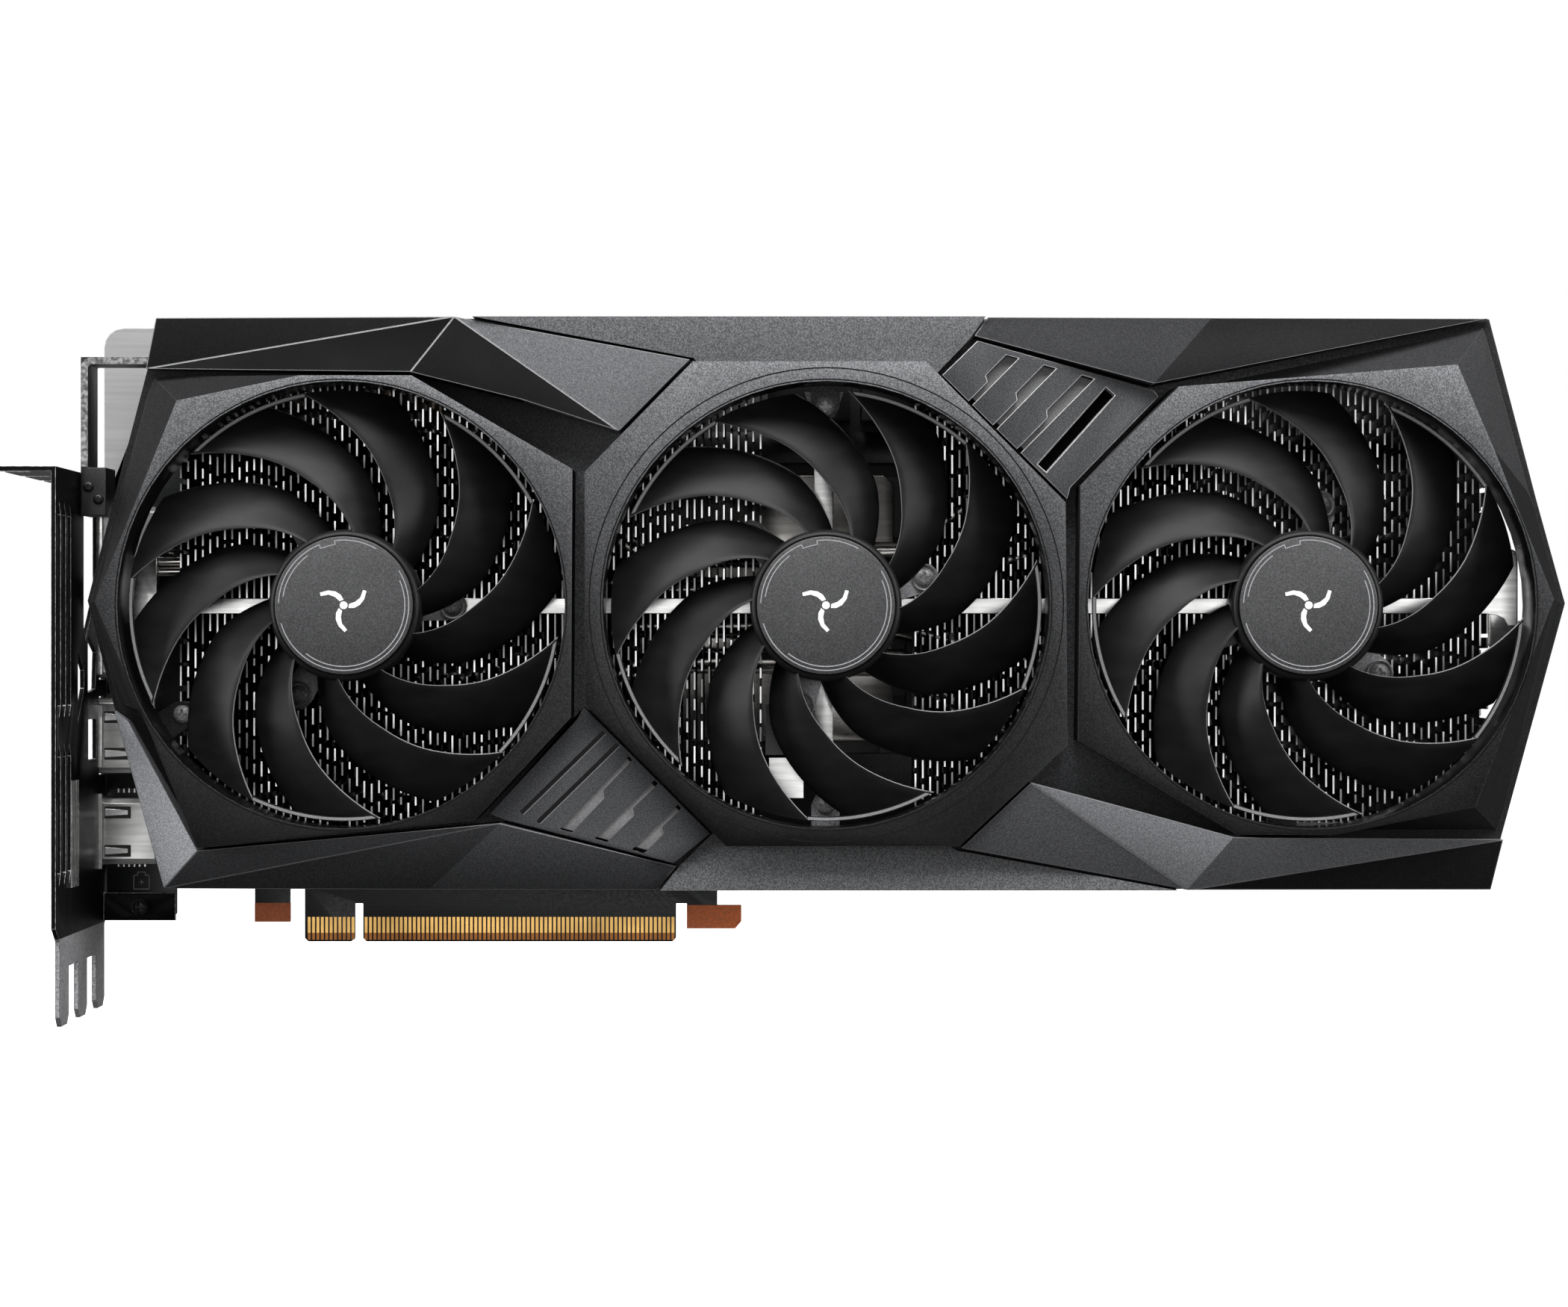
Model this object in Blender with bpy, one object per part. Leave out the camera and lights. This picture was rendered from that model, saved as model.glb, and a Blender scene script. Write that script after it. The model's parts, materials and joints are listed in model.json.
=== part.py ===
"""Triple-fan graphics card, built as an assembly of separate parts.

Every length below is in millimetres and is scaled to metres when a mesh is made.
The frame is the card standing on its edge connector: +X runs along the card away
from the input/output bracket, +Z runs up from the slot, and the fans face -Y.
The origin is the middle of the long contact section's lower face.
A "height" is a distance in front of the board's component face, towards the fans,
so the board itself and the back plate have negative heights.
"""

import math

import bmesh
import bpy
from mathutils import Vector

MM = 0.001
GAP = 0.3

# Circuit board and its card-edge connector.
BOARD_THICKNESS = 1.57
BOARD_LEFT = -94.2
BOARD_RIGHT = 150.0
BOARD_TOP = 128.0
BOARD_BOTTOM = 13.5
BOARD_CORNER = (-84.0, 102.0)
CONTACT_HALF_LENGTH = 35.7
SHORT_CONTACT_LEFT = -49.0
SHORT_CONTACT_RIGHT = -37.6
KEY_NOTCH_TOP = 8.7
CORNER_CHAMFER = 0.8
RETAINER_STEM_LEFT = 38.2
RETAINER_STEM_RIGHT = 45.1
RETAINER_HOOK_RIGHT = 50.6
RETAINER_BOTTOM = 3.0
RETAINER_HOOK_TOP = 8.3
SIDE_TAB_LEFT = -60.4
SIDE_TAB_RIGHT = -52.4
SIDE_TAB_BOTTOM = 4.5

# Input/output bracket, three expansion slots wide.
BRACKET_OUTER_X = -95.65
BRACKET_THICKNESS = 1.0
BRACKET_INNER_X = BRACKET_OUTER_X + BRACKET_THICKNESS
BRACKET_LOW = -3.8
BRACKET_HIGH = 55.3
BRACKET_TOP = 105.6
BRACKET_TAB_REACH = 11.4
BRACKET_SHOULDER = 7.0
SLOT_PITCH = 20.32
FIRST_SLOT_HEIGHT = 5.4
# The large vents between the sockets and the slits, each an outline of (height, z) points.
BRACKET_VENTS = (
    ((9.4, 97.0), (24.6, 97.0), (24.6, 72.0), (22.5, 68.5), (9.4, 80.0)),
    ((9.8, 66.0), (19.8, 70.0), (19.8, 57.0), (11.0, 57.7)),
    ((24.0, 62.0), (31.1, 66.5), (31.1, 50.5), (24.0, 58.0)),
    ((9.8, 51.0), (19.3, 51.0), (19.3, 42.0), (9.8, 42.0)),
)
TAIL_WIDTH = 10.19
TAIL_BOTTOM = -14.4
TAIL_ROOT = -2.0
FOOT = (-86.5, 7.9)
FOOT_RIGHT = -78.3
FOOT_BOTTOM = 4.9
FOOT_TOP = 11.2

# Video sockets, listed upwards along the bracket.
SOCKET_DEPTH = 13.6
SOCKET_CAVITY = 10.0
SOCKET_WALL = 0.5
HDMI_CENTRE_Z = 25.4
HDMI_MOUTH = (14.0, 4.6)
DP_CENTRES_Z = (47.1, 68.7, 90.4)
DP_MOUTH = (16.1, 4.8)
SOCKET_LIFT = 0.4

# Auxiliary power sockets along the board's top edge.
POWER_CENTRES_X = (66.0, 87.0, 108.0)
POWER_SIZE = (18.6, 10.0)
POWER_BOTTOM = 118.0
POWER_TOP = 134.5
POWER_WALL = 0.9
POWER_CAVITY = 10.0

# Layers of the cooler, as heights above the board.
PACKAGE_CENTRE = (55.0, 76.0)
PACKAGE_LAYER = (0.3, 2.2)
PACKAGE_SIZE = 45.0
COLD_PLATE_LAYER = (2.6, 6.0)
COLD_PLATE_SIZE = 60.0
MID_PLATE_LAYER = (2.4, 3.9)
HEAT_PIPE_RADIUS = 2.9
HEAT_PIPE_HEIGHT = 9.3
FIN_LAYER = (12.5, 32.0)
FIN_WEB = 0.8
FIN_THICKNESS = 0.9
FIN_PITCH = 3.2
# Each block of fins is (left, right, bottom, top).
FIN_BLOCKS = {
    "fin_stack_left": (-72.1, 55.4, 20.0, 132.0), "fin_stack_right": (89.0, 214.8, 28.6, 125.3),
}
RAIL_LAYER = (32.3, 33.3)
RAIL_RANGE_X = (-77.6, 219.5)
RAIL_RANGE_Z = (74.4, 77.8)
BACK_PLATE_LAYER = (-5.6, -4.4)
BACK_SLOT_WIDTH = 4.0

# Fans.
FAN_CENTRE_Z = 76.1
FAN_CENTRES_X = {"left": -34.6, "middle": 69.4, "right": 173.5}
FAN_TIP_ANGLE = {"left": 63.3, "middle": 11.8, "right": 68.4}
FAN_EAR_ANGLE = {"left": 0.0, "middle": 16.0, "right": 79.0}
FAN_OPENING_RADIUS = 48.0
HUB_RADIUS = 16.4
HUB_RIM_RADIUS = 15.2
HUB_WALL = 1.2
HUB_LAYER = (36.0, 44.3)
CAP_RADIUS = 15.0
CAP_LAYER = (44.6, 45.3)
BLADE_PAIRS = 5
PAIR_OFFSET = 34.3
BLADE_TIP_RADIUS = 46.6
BLADE_LAYER = (36.6, 44.2)
BLADE_THICKNESS = 1.2
BLADE_SWEEP = 1.74
BLADE_ROOT_CHORD = 19.0
BLADE_CHORD = 22.7
LINK_RADII = (45.3, 46.4)
LINK_LAYER = (42.9, 44.0)
MOTOR_BASE_LAYER = (33.7, 35.0)
EAR_LAYER = (33.8, 34.5)
EAR_RADIUS_FROM_AXIS = 22.5
MOUNT_TAB_RADIUS = 43.6

# Shroud.
SHROUD_BACK = 20.0
SHROUD_PLATE = 38.0
SHROUD_WALL = 2.0
FRAME_FRONT = 50.0
MID_PANEL_FRONT = 44.0
TRIM_BASE = SHROUD_PLATE + GAP
PANEL_LAYER = (42.3, 46.5)
DIFFUSER_LAYER = (TRIM_BASE, 42.0)


def clear_scene():
    """Remove whatever the file already holds."""
    for item in list(bpy.data.objects):
        bpy.data.objects.remove(item)


def make_material(name, color, roughness, metallic):
    """Return a plain Principled material."""
    material = bpy.data.materials.new(name)
    material.use_nodes = True
    shader = material.node_tree.nodes["Principled BSDF"]
    shader.inputs["Base Color"].default_value = (*color, 1.0)
    shader.inputs["Roughness"].default_value = roughness
    shader.inputs["Metallic"].default_value = metallic
    material.diffuse_color = (*color, 1.0)
    return material


def make_materials():
    """Return the card's materials by name."""
    return {
        "board": make_material("board", (0.02, 0.022, 0.022), 0.45, 0.0),
        "chip": make_material("chip", (0.05, 0.05, 0.055), 0.35, 0.0),
        "bracket_steel": make_material("bracket_steel", (0.28, 0.28, 0.29), 0.35, 1.0),
        "bright_steel": make_material("bright_steel", (0.72, 0.72, 0.72), 0.25, 1.0),
        "black_steel": make_material("black_steel", (0.03, 0.03, 0.03), 0.5, 0.4),
        "aluminium": make_material("aluminium", (0.7, 0.7, 0.7), 0.35, 1.0),
        "brushed_plate": make_material("brushed_plate", (0.55, 0.56, 0.57), 0.4, 1.0),
        "copper_pipe": make_material("copper_pipe", (0.75, 0.74, 0.72), 0.25, 1.0),
        "shroud_plastic": make_material("shroud_plastic", (0.055, 0.056, 0.058), 0.6, 0.0),
        "trim_plastic": make_material("trim_plastic", (0.035, 0.036, 0.038), 0.45, 0.0),
        "diffuser": make_material("diffuser", (0.2, 0.2, 0.21), 0.5, 0.0),
        "fan_plastic": make_material("fan_plastic", (0.018, 0.018, 0.019), 0.3, 0.0),
        "cap_label": make_material("cap_label", (0.07, 0.07, 0.075), 0.5, 0.0),
        "magnet": make_material("magnet", (0.06, 0.06, 0.06), 0.6, 0.2),
        "winding": make_material("winding", (0.55, 0.25, 0.12), 0.4, 1.0),
        "socket_plastic": make_material("socket_plastic", (0.02, 0.02, 0.02), 0.5, 0.0),
    }


def place(x, z, height):
    """Return the world position of a point at a height above the board."""
    return Vector((x * MM, -(BOARD_THICKNESS / 2 + height) * MM, z * MM))


def make_object(name, mesh_builder, material, origin=None):
    """Turn a bmesh into an object, with its origin where it is asked for.

    Faces whose corners don't lie in one plane are split, so that Booleans read them rightly.
    """
    bmesh.ops.connect_verts_nonplanar(mesh_builder, angle_limit=1e-4, faces=mesh_builder.faces)
    bmesh.ops.recalc_face_normals(mesh_builder, faces=mesh_builder.faces)
    origin = Vector((0.0, 0.0, 0.0)) if origin is None else origin
    bmesh.ops.translate(mesh_builder, verts=mesh_builder.verts, vec=-origin)
    mesh = bpy.data.meshes.new(name)
    mesh_builder.to_mesh(mesh)
    mesh_builder.free()
    item = bpy.data.objects.new(name, mesh)
    item.location = origin
    if material is not None:
        mesh.materials.append(material)
    bpy.context.scene.collection.objects.link(item)
    return item


def combine(target, tool, operation, solver="EXACT"):
    """Apply a Boolean of the tool to the target, and drop the tool."""
    modifier = target.modifiers.new("combine", "BOOLEAN")
    modifier.operation = operation
    modifier.solver = solver
    modifier.object = tool
    depsgraph = bpy.context.evaluated_depsgraph_get()
    result = bpy.data.meshes.new_from_object(target.evaluated_get(depsgraph))
    target.modifiers.clear()
    target.data = result
    bpy.data.objects.remove(tool)


def join(target, *pieces, solver="EXACT"):
    """Fuse pieces onto the target."""
    for piece in pieces:
        combine(target, piece, "UNION", solver)


def cut(target, *tools):
    """Cut tools out of the target."""
    for tool in tools:
        combine(target, tool, "DIFFERENCE")


def smooth(item, angle=35.0):
    """Shade a round piece smooth, keeping its real edges sharp."""
    item.data.shade_smooth()
    item.data.set_sharp_from_angle(angle=math.radians(angle))


def prism(name, outline, low, high, material=None, top_outline=None):
    """Return a solid between two heights over an outline of (x, z) points."""
    builder = bmesh.new()
    top_outline = outline if top_outline is None else top_outline
    lower = [builder.verts.new(place(x, z, low)) for x, z in outline]
    upper = [builder.verts.new(place(x, z, high)) for x, z in top_outline]
    builder.faces.new(lower)
    builder.faces.new(list(reversed(upper)))
    count = len(outline)
    for i in range(count):
        j = (i + 1) % count
        builder.faces.new((lower[i], upper[i], upper[j], lower[j]))
    return make_object(name, builder, material)


def rectangle(left, right, bottom, top, chamfer=0.0):
    """Return a rectangle's outline, with its corners cut where asked."""
    if chamfer == 0.0:
        return [(left, bottom), (right, bottom), (right, top), (left, top)]
    return [
        (left + chamfer, bottom), (right - chamfer, bottom),
        (right, bottom + chamfer), (right, top - chamfer),
        (right - chamfer, top), (left + chamfer, top),
        (left, top - chamfer), (left, bottom + chamfer),
    ]


def rounded_rectangle(left, right, bottom, top, radius, steps=4):
    """Return a rectangle's outline with round corners."""
    centres = (
        (right - radius, top - radius, 0.0), (left + radius, top - radius, 90.0),
        (left + radius, bottom + radius, 180.0), (right - radius, bottom + radius, 270.0),
    )
    outline = []
    for x, z, start in centres:
        for step in range(steps + 1):
            angle = math.radians(start + 90.0 * step / steps)
            outline.append((x + radius * math.cos(angle), z + radius * math.sin(angle)))
    return outline


def circle(x, z, radius, sides):
    """Return a circle's outline."""
    turns = [2 * math.pi * i / sides for i in range(sides)]
    return [(x + radius * math.cos(t), z + radius * math.sin(t)) for t in turns]


def cylinder(x, z, radius, low, high, sides=48, name="cylinder", material=None):
    """Return a cylinder whose axis runs front to back."""
    return prism(name, circle(x, z, radius, sides), low, high, material)


def block(left, right, bottom, top, low, high, name="block", material=None):
    """Return a box."""
    return prism(name, rectangle(left, right, bottom, top), low, high, material)


def inset(outline, distance):
    """Return an outline moved inwards by a distance, corner by corner."""
    area = sum(a[0] * b[1] - b[0] * a[1] for a, b in zip(outline, outline[1:] + outline[:1]))
    side = 1.0 if area > 0 else -1.0
    moved = []
    for i, corner in enumerate(outline):
        before = Vector(corner) - Vector(outline[i - 1])
        after = Vector(outline[(i + 1) % len(outline)]) - Vector(corner)
        normal_before = side * Vector((-before.y, before.x)).normalized()
        normal_after = side * Vector((-after.y, after.x)).normalized()
        mitre = distance / (1.0 + normal_before.dot(normal_after))
        moved.append(tuple(Vector(corner) + (normal_before + normal_after) * mitre))
    return moved


def turned(name, profile, centre, material, sides=48, closed=False):
    """Return a solid turned about a front-to-back axis from (radius, height) points."""
    x, z = centre
    builder = bmesh.new()
    rings = []
    for radius, height in profile:
        if radius == 0.0:
            rings.append([builder.verts.new(place(x, z, height))] * sides)
        else:
            outline = circle(x, z, radius, sides)
            rings.append([builder.verts.new(place(a, b, height)) for a, b in outline])
    pairs = list(zip(rings, rings[1:]))
    if closed:
        pairs.append((rings[-1], rings[0]))
    for first, second in pairs:
        for i in range(sides):
            j = (i + 1) % sides
            corners = list(dict.fromkeys((first[i], first[j], second[j], second[i])))
            builder.faces.new(corners)
    item = make_object(name, builder, material, place(x, z, 0.0))
    smooth(item)
    return item


def ring(name, centre, inner, outer, low, high, material, sides=48):
    """Return a flat ring with a square section."""
    profile = ((inner, low), (outer, low), (outer, high), (inner, high))
    return turned(name, profile, centre, material, sides, closed=True)


def faceted(name, points, faces, base, material=None):
    """Return a solid with a flat back and a front of flat facets.

    points are (x, z, height), and faces list the corners of each front facet.
    """
    builder = bmesh.new()
    front = [builder.verts.new(place(*point)) for point in points]
    back = [builder.verts.new(place(x, z, base)) for x, z, height in points]
    edges = {}
    for face in faces:
        builder.faces.new([front[i] for i in face])
        builder.faces.new([back[i] for i in reversed(face)])
        for a, b in zip(face, face[1:] + face[:1]):
            edges[tuple(sorted((a, b)))] = edges.get(tuple(sorted((a, b))), 0) + 1
    for (a, b), uses in edges.items():
        if uses == 1:
            builder.faces.new((front[a], front[b], back[b], back[a]))
    return make_object(name, builder, material)


def on_plane(first, second, third, x, z):
    """Return the (x, z, height) point at (x, z) on the plane through three such points."""
    corner = Vector(first)
    normal = (Vector(second) - corner).cross(Vector(third) - corner)
    height = corner.z - (normal.x * (x - corner.x) + normal.y * (z - corner.y)) / normal.z
    return x, z, height


def polar(centre, radius, degrees):
    """Return the (x, z) point at an angle, counter-clockwise seen from the front."""
    angle = math.radians(degrees)
    return centre[0] + radius * math.cos(angle), centre[1] + radius * math.sin(angle)


def lug_outline(centre, root, tip, degrees, half_width, steps=4):
    """Return a lug that runs along a radius, from its square root to its round tip."""
    along = Vector(polar((0.0, 0.0), 1.0, degrees))
    across = Vector((-along.y, along.x)) * half_width
    start = Vector(centre) + along * root
    finish = Vector(centre) + along * tip
    turn = 90.0 if tip > root else -90.0
    outline = [tuple(start + across)]
    for step in range(steps + 1):
        swing = degrees + 90.0 - 2 * turn * step / steps
        outline.append(polar(tuple(finish), half_width, swing))
    outline.append(tuple(start - across))
    return outline


# ---------------------------------------------------------------- board

def board_outline():
    """Return the board's outline: a notched top corner by the brace, and the slot connector below."""
    chamfer = CORNER_CHAMFER
    slot_left = CONTACT_HALF_LENGTH
    return [
        (BOARD_CORNER[0], BOARD_TOP), BOARD_CORNER, (BOARD_LEFT, BOARD_CORNER[1]),
        (BOARD_LEFT, FOOT_BOTTOM + 1.5),
        (BOARD_LEFT + 1.5, FOOT_BOTTOM), (FOOT_RIGHT - 1.5, FOOT_BOTTOM),
        (FOOT_RIGHT, FOOT_BOTTOM + 1.5), (FOOT_RIGHT, BOARD_BOTTOM),
        (SIDE_TAB_LEFT, BOARD_BOTTOM), (SIDE_TAB_LEFT, SIDE_TAB_BOTTOM),
        (SIDE_TAB_RIGHT, SIDE_TAB_BOTTOM), (SIDE_TAB_RIGHT, BOARD_BOTTOM - 1.0),
        (SHORT_CONTACT_LEFT, BOARD_BOTTOM - 1.0), (SHORT_CONTACT_LEFT, chamfer),
        (SHORT_CONTACT_LEFT + chamfer, 0.0), (SHORT_CONTACT_RIGHT - chamfer, 0.0),
        (SHORT_CONTACT_RIGHT, chamfer), (SHORT_CONTACT_RIGHT, KEY_NOTCH_TOP),
        (-slot_left, KEY_NOTCH_TOP), (-slot_left, chamfer),
        (-slot_left + chamfer, 0.0), (slot_left - chamfer, 0.0),
        (slot_left, chamfer), (slot_left, KEY_NOTCH_TOP),
        (RETAINER_STEM_LEFT, KEY_NOTCH_TOP), (RETAINER_STEM_LEFT, RETAINER_BOTTOM),
        (RETAINER_HOOK_RIGHT - 2.0, RETAINER_BOTTOM), (RETAINER_HOOK_RIGHT, RETAINER_BOTTOM + 2.5),
        (RETAINER_HOOK_RIGHT, RETAINER_HOOK_TOP), (RETAINER_STEM_RIGHT, RETAINER_HOOK_TOP),
        (RETAINER_STEM_RIGHT, BOARD_BOTTOM), (BOARD_RIGHT, BOARD_BOTTOM),
        (BOARD_RIGHT, BOARD_TOP),
    ]


def build_board(materials):
    """Make the board and the processor package soldered to it."""
    board = prism("pcb", board_outline(), -BOARD_THICKNESS, 0.0, materials["board"])
    cut(board, cylinder(*FOOT, 1.7, -3.0, 1.0, 10))
    half = PACKAGE_SIZE / 2
    x, z = PACKAGE_CENTRE
    package = rectangle(x - half, x + half, z - half, z + half, 1.0)
    prism("gpu_package", package, *PACKAGE_LAYER, materials["chip"])


# ---------------------------------------------------------------- bracket and sockets

def bracket_outline():
    """Return the bracket's outline as (height, z) points, tails downwards."""
    chamfer = 2.0
    outline = [(BRACKET_LOW, BRACKET_TOP), (BRACKET_LOW, BRACKET_SHOULDER)]
    for slot in range(3):
        centre = FIRST_SLOT_HEIGHT + slot * SLOT_PITCH
        low = centre - TAIL_WIDTH / 2
        high = centre + TAIL_WIDTH / 2
        root_low = BRACKET_SHOULDER - 3.0 if slot == 0 else TAIL_ROOT
        root_high = BRACKET_SHOULDER - 3.0 if slot == 2 else TAIL_ROOT
        outline += [
            (low, root_low), (low, TAIL_BOTTOM + chamfer), (low + chamfer, TAIL_BOTTOM),
            (high - chamfer, TAIL_BOTTOM), (high, TAIL_BOTTOM + chamfer), (high, root_high),
        ]
    outline += [(BRACKET_HIGH, BRACKET_SHOULDER), (BRACKET_HIGH, BRACKET_TOP)]
    return outline


def wall_prism(name, outline, left, right, material=None):
    """Return a solid between two X positions over an outline of (height, z) points."""
    builder = bmesh.new()
    first = [builder.verts.new(place(left, z, height)) for height, z in outline]
    second = [builder.verts.new(place(right, z, height)) for height, z in outline]
    builder.faces.new(first)
    builder.faces.new(list(reversed(second)))
    for i in range(len(outline)):
        j = (i + 1) % len(outline)
        builder.faces.new((first[i], second[i], second[j], first[j]))
    return make_object(name, builder, material)


def socket_box(centre_z, mouth):
    """Return a socket's outer (low, high, bottom, top) round its mouth."""
    half = mouth[0] / 2 + SOCKET_WALL
    low = SOCKET_LIFT
    return low, low + mouth[1] + 2 * SOCKET_WALL, centre_z - half, centre_z + half


def bracket_window(left, right, box, margin):
    """Return a cutter for a rectangular window in the bracket."""
    low, high, bottom, top = box
    return block(left, right, bottom - margin, top + margin, low - margin, high + margin)


def build_bracket(materials):
    """Make the bracket with its top tab, tails, socket windows and vents."""
    steel = materials["bracket_steel"]
    bracket = wall_prism("io_bracket", bracket_outline(), BRACKET_OUTER_X, BRACKET_INNER_X, steel)
    tab_left = BRACKET_OUTER_X - BRACKET_TAB_REACH
    tab_bottom = BRACKET_TOP - BRACKET_THICKNESS
    tab = block(tab_left, BRACKET_INNER_X, tab_bottom, BRACKET_TOP, BRACKET_LOW, BRACKET_HIGH)
    foot = block(BRACKET_OUTER_X, FOOT_RIGHT, FOOT_BOTTOM, FOOT_TOP, 0.4, 1.4)
    join(bracket, tab, foot)
    cut(bracket, cylinder(*FOOT, 1.7, 0.0, 2.0, 10))
    for slot in range(3):
        centre = FIRST_SLOT_HEIGHT + slot * SLOT_PITCH + 4.0
        cut(bracket, block(tab_left - 1, tab_left + 6.0, 100.0, 110.0, centre - 2.2, centre + 2.2))
    mouths = [(HDMI_CENTRE_Z, HDMI_MOUTH)] + [(z, DP_MOUTH) for z in DP_CENTRES_Z]
    for centre_z, mouth in mouths:
        box = socket_box(centre_z, mouth)
        cut(bracket, bracket_window(BRACKET_OUTER_X - 1, BRACKET_INNER_X + 1, box, 0.35))
    for vent in BRACKET_VENTS:
        cut(bracket, wall_prism("vent", vent, BRACKET_OUTER_X - 1, BRACKET_INNER_X + 1))
    for column in (-5.5, 0.0, 5.5):
        centre = FIRST_SLOT_HEIGHT + 2 * SLOT_PITCH + column
        for bottom, top in ((16.0, 46.0), (52.0, 98.0)):
            slit = [
                (centre, bottom), (centre + 1.7, bottom + 2.5), (centre + 1.7, top - 2.5),
                (centre, top), (centre - 1.7, top - 2.5), (centre - 1.7, bottom + 2.5),
            ]
            cut(bracket, wall_prism("slit", slit, BRACKET_OUTER_X - 1, BRACKET_INNER_X + 1))


def build_sockets(materials):
    """Make the hollow shells of the video sockets."""
    names = ["hdmi_socket", "dp_socket_1", "dp_socket_2", "dp_socket_3"]
    mouths = [(HDMI_CENTRE_Z, HDMI_MOUTH)] + [(z, DP_MOUTH) for z in DP_CENTRES_Z]
    left = BRACKET_OUTER_X
    for name, (centre_z, mouth) in zip(names, mouths):
        low, high, bottom, top = socket_box(centre_z, mouth)
        slope = 1.2
        shell_outline = [
            (low, bottom), (high - slope, bottom), (high, bottom + slope),
            (high, top - slope), (high - slope, top), (low, top),
        ]
        wall = SOCKET_WALL
        cavity = rectangle(low + wall, high - wall, bottom + wall, top - wall, 0.8)
        shell = wall_prism(name, shell_outline, left, left + SOCKET_DEPTH, materials["bright_steel"])
        cut(shell, wall_prism("cavity", cavity, left - 1, left + SOCKET_CAVITY))


def build_power_sockets(materials):
    """Make the three auxiliary power sockets, open upwards."""
    half = POWER_SIZE[0] / 2
    low = SOCKET_LIFT
    high = low + POWER_SIZE[1]
    wall = POWER_WALL
    for number, x in enumerate(POWER_CENTRES_X, start=1):
        body = block(
            x - half, x + half, POWER_BOTTOM, POWER_TOP, low, high,
            f"power_socket_{number}", materials["socket_plastic"],
        )
        cavity = block(
            x - half + wall, x + half - wall, POWER_TOP - POWER_CAVITY, POWER_TOP + 1,
            low + wall, high - wall,
        )
        latch = block(x - 2.5, x + 2.5, POWER_TOP - 6.0, POWER_TOP - 4.0, high - 0.2, high + 1.0)
        cut(body, cavity)
        join(body, latch)


# ---------------------------------------------------------------- cooler

def build_plates(materials):
    """Make the cold plate, the plate over the board, and the back plate."""
    x, z = PACKAGE_CENTRE
    half = COLD_PLATE_SIZE / 2
    cold = rectangle(x - half, x + half, z - half, z + half, 2.0)
    prism("cold_plate", cold, *COLD_PLATE_LAYER, materials["copper_pipe"])
    outline = rectangle(-76.0, 146.0, 20.0, 116.0, 3.0)
    mid = prism("mid_plate", outline, *MID_PLATE_LAYER, materials["black_steel"])
    window = half + 3.0
    cut(mid, block(x - window, x + window, z - window, z + window, 0.0, 10.0))
    build_back_plate(materials)


def build_back_plate(materials):
    """Make the back plate with its flow-through slots behind the third fan."""
    plate = prism(
        "backplate", rounded_rectangle(-95.6, 213.0, 14.6, 140.3, 4.5), *BACK_PLATE_LAYER,
        materials["brushed_plate"],
    )
    low, high = BACK_PLATE_LAYER
    for row in range(9):
        left, right = 157.0, 202.0
        bottom = 36.0 + row * 9.0
        top = bottom + BACK_SLOT_WIDTH
        slant = BACK_SLOT_WIDTH
        slot = [(left, bottom), (right, bottom), (right + slant, top), (left + slant, top)]
        cut(plate, prism("slot", slot, low - 1, high + 1))
    for x, z in back_screw_places():
        cut(plate, cylinder(x, z, 1.6, low - 1, high + 1, 8))


def back_screw_places():
    """Return the (x, z) places of the four screws that clamp the cold plate."""
    x, z = PACKAGE_CENTRE
    reach = 32.0
    return [(x + a * reach, z + b * reach) for a in (-1, 1) for b in (-1, 1)]


def comb_outline(left, right):
    """Return a fin stack's section as (x, height) points: a web with fins on it."""
    low, high = FIN_LAYER
    web = low + FIN_WEB
    outline = [(left, low)]
    count = round((right - left - FIN_THICKNESS) / FIN_PITCH)
    pitch = (right - left - FIN_THICKNESS) / count
    for i in range(count + 1):
        x = left + i * pitch
        outline += [(x, high), (x + FIN_THICKNESS, high)]
        if i < count:
            outline += [(x + FIN_THICKNESS, web), (x + pitch, web)]
    outline.append((right, low))
    return outline


def build_fin_stacks(materials):
    """Make the two blocks of fins as combs, swept from bottom to top.

    The right block is the shorter one, so that its end clears the shroud's sloping walls.
    """
    for name, (left, right, bottom, top) in FIN_BLOCKS.items():
        outline = comb_outline(left, right)
        builder = bmesh.new()
        lower = [builder.verts.new(place(x, bottom, height)) for x, height in outline]
        upper = [builder.verts.new(place(x, top, height)) for x, height in outline]
        builder.faces.new(lower)
        builder.faces.new(list(reversed(upper)))
        for i in range(len(outline)):
            j = (i + 1) % len(outline)
            builder.faces.new((lower[i], upper[i], upper[j], lower[j]))
        make_object(name, builder, materials["aluminium"])


def build_rail(materials):
    """Make the bright rail that ties the fin stacks together behind the fans."""
    low, high = RAIL_LAYER
    rail = block(*RAIL_RANGE_X, *RAIL_RANGE_Z, low, high, "fin_rail", materials["bright_steel"])
    left_plate = block(-82.3, -77.0, 72.7, 86.9, low, high)
    right_plate = prism("plate", rounded_rectangle(214.6, 221.0, 66.5, 88.5, 1.5), low, high)
    cross_bar = block(66.9, 71.1, 42.0, 112.0, low, high)
    join(rail, left_plate, right_plate, cross_bar)


def pipe_height_z(x, left_z, core_z, right_z):
    """Return a heat pipe's z at x: level over the core, level again in each stack."""
    core_left, core_right = 25.0, 85.0
    bend = 38.0
    if x < core_left:
        share = min((core_left - x) / bend, 1.0)
        return core_z + (left_z - core_z) * (3 * share ** 2 - 2 * share ** 3)
    share = min(max(x - core_right, 0.0) / bend, 1.0)
    return core_z + (right_z - core_z) * (3 * share ** 2 - 2 * share ** 3)


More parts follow.
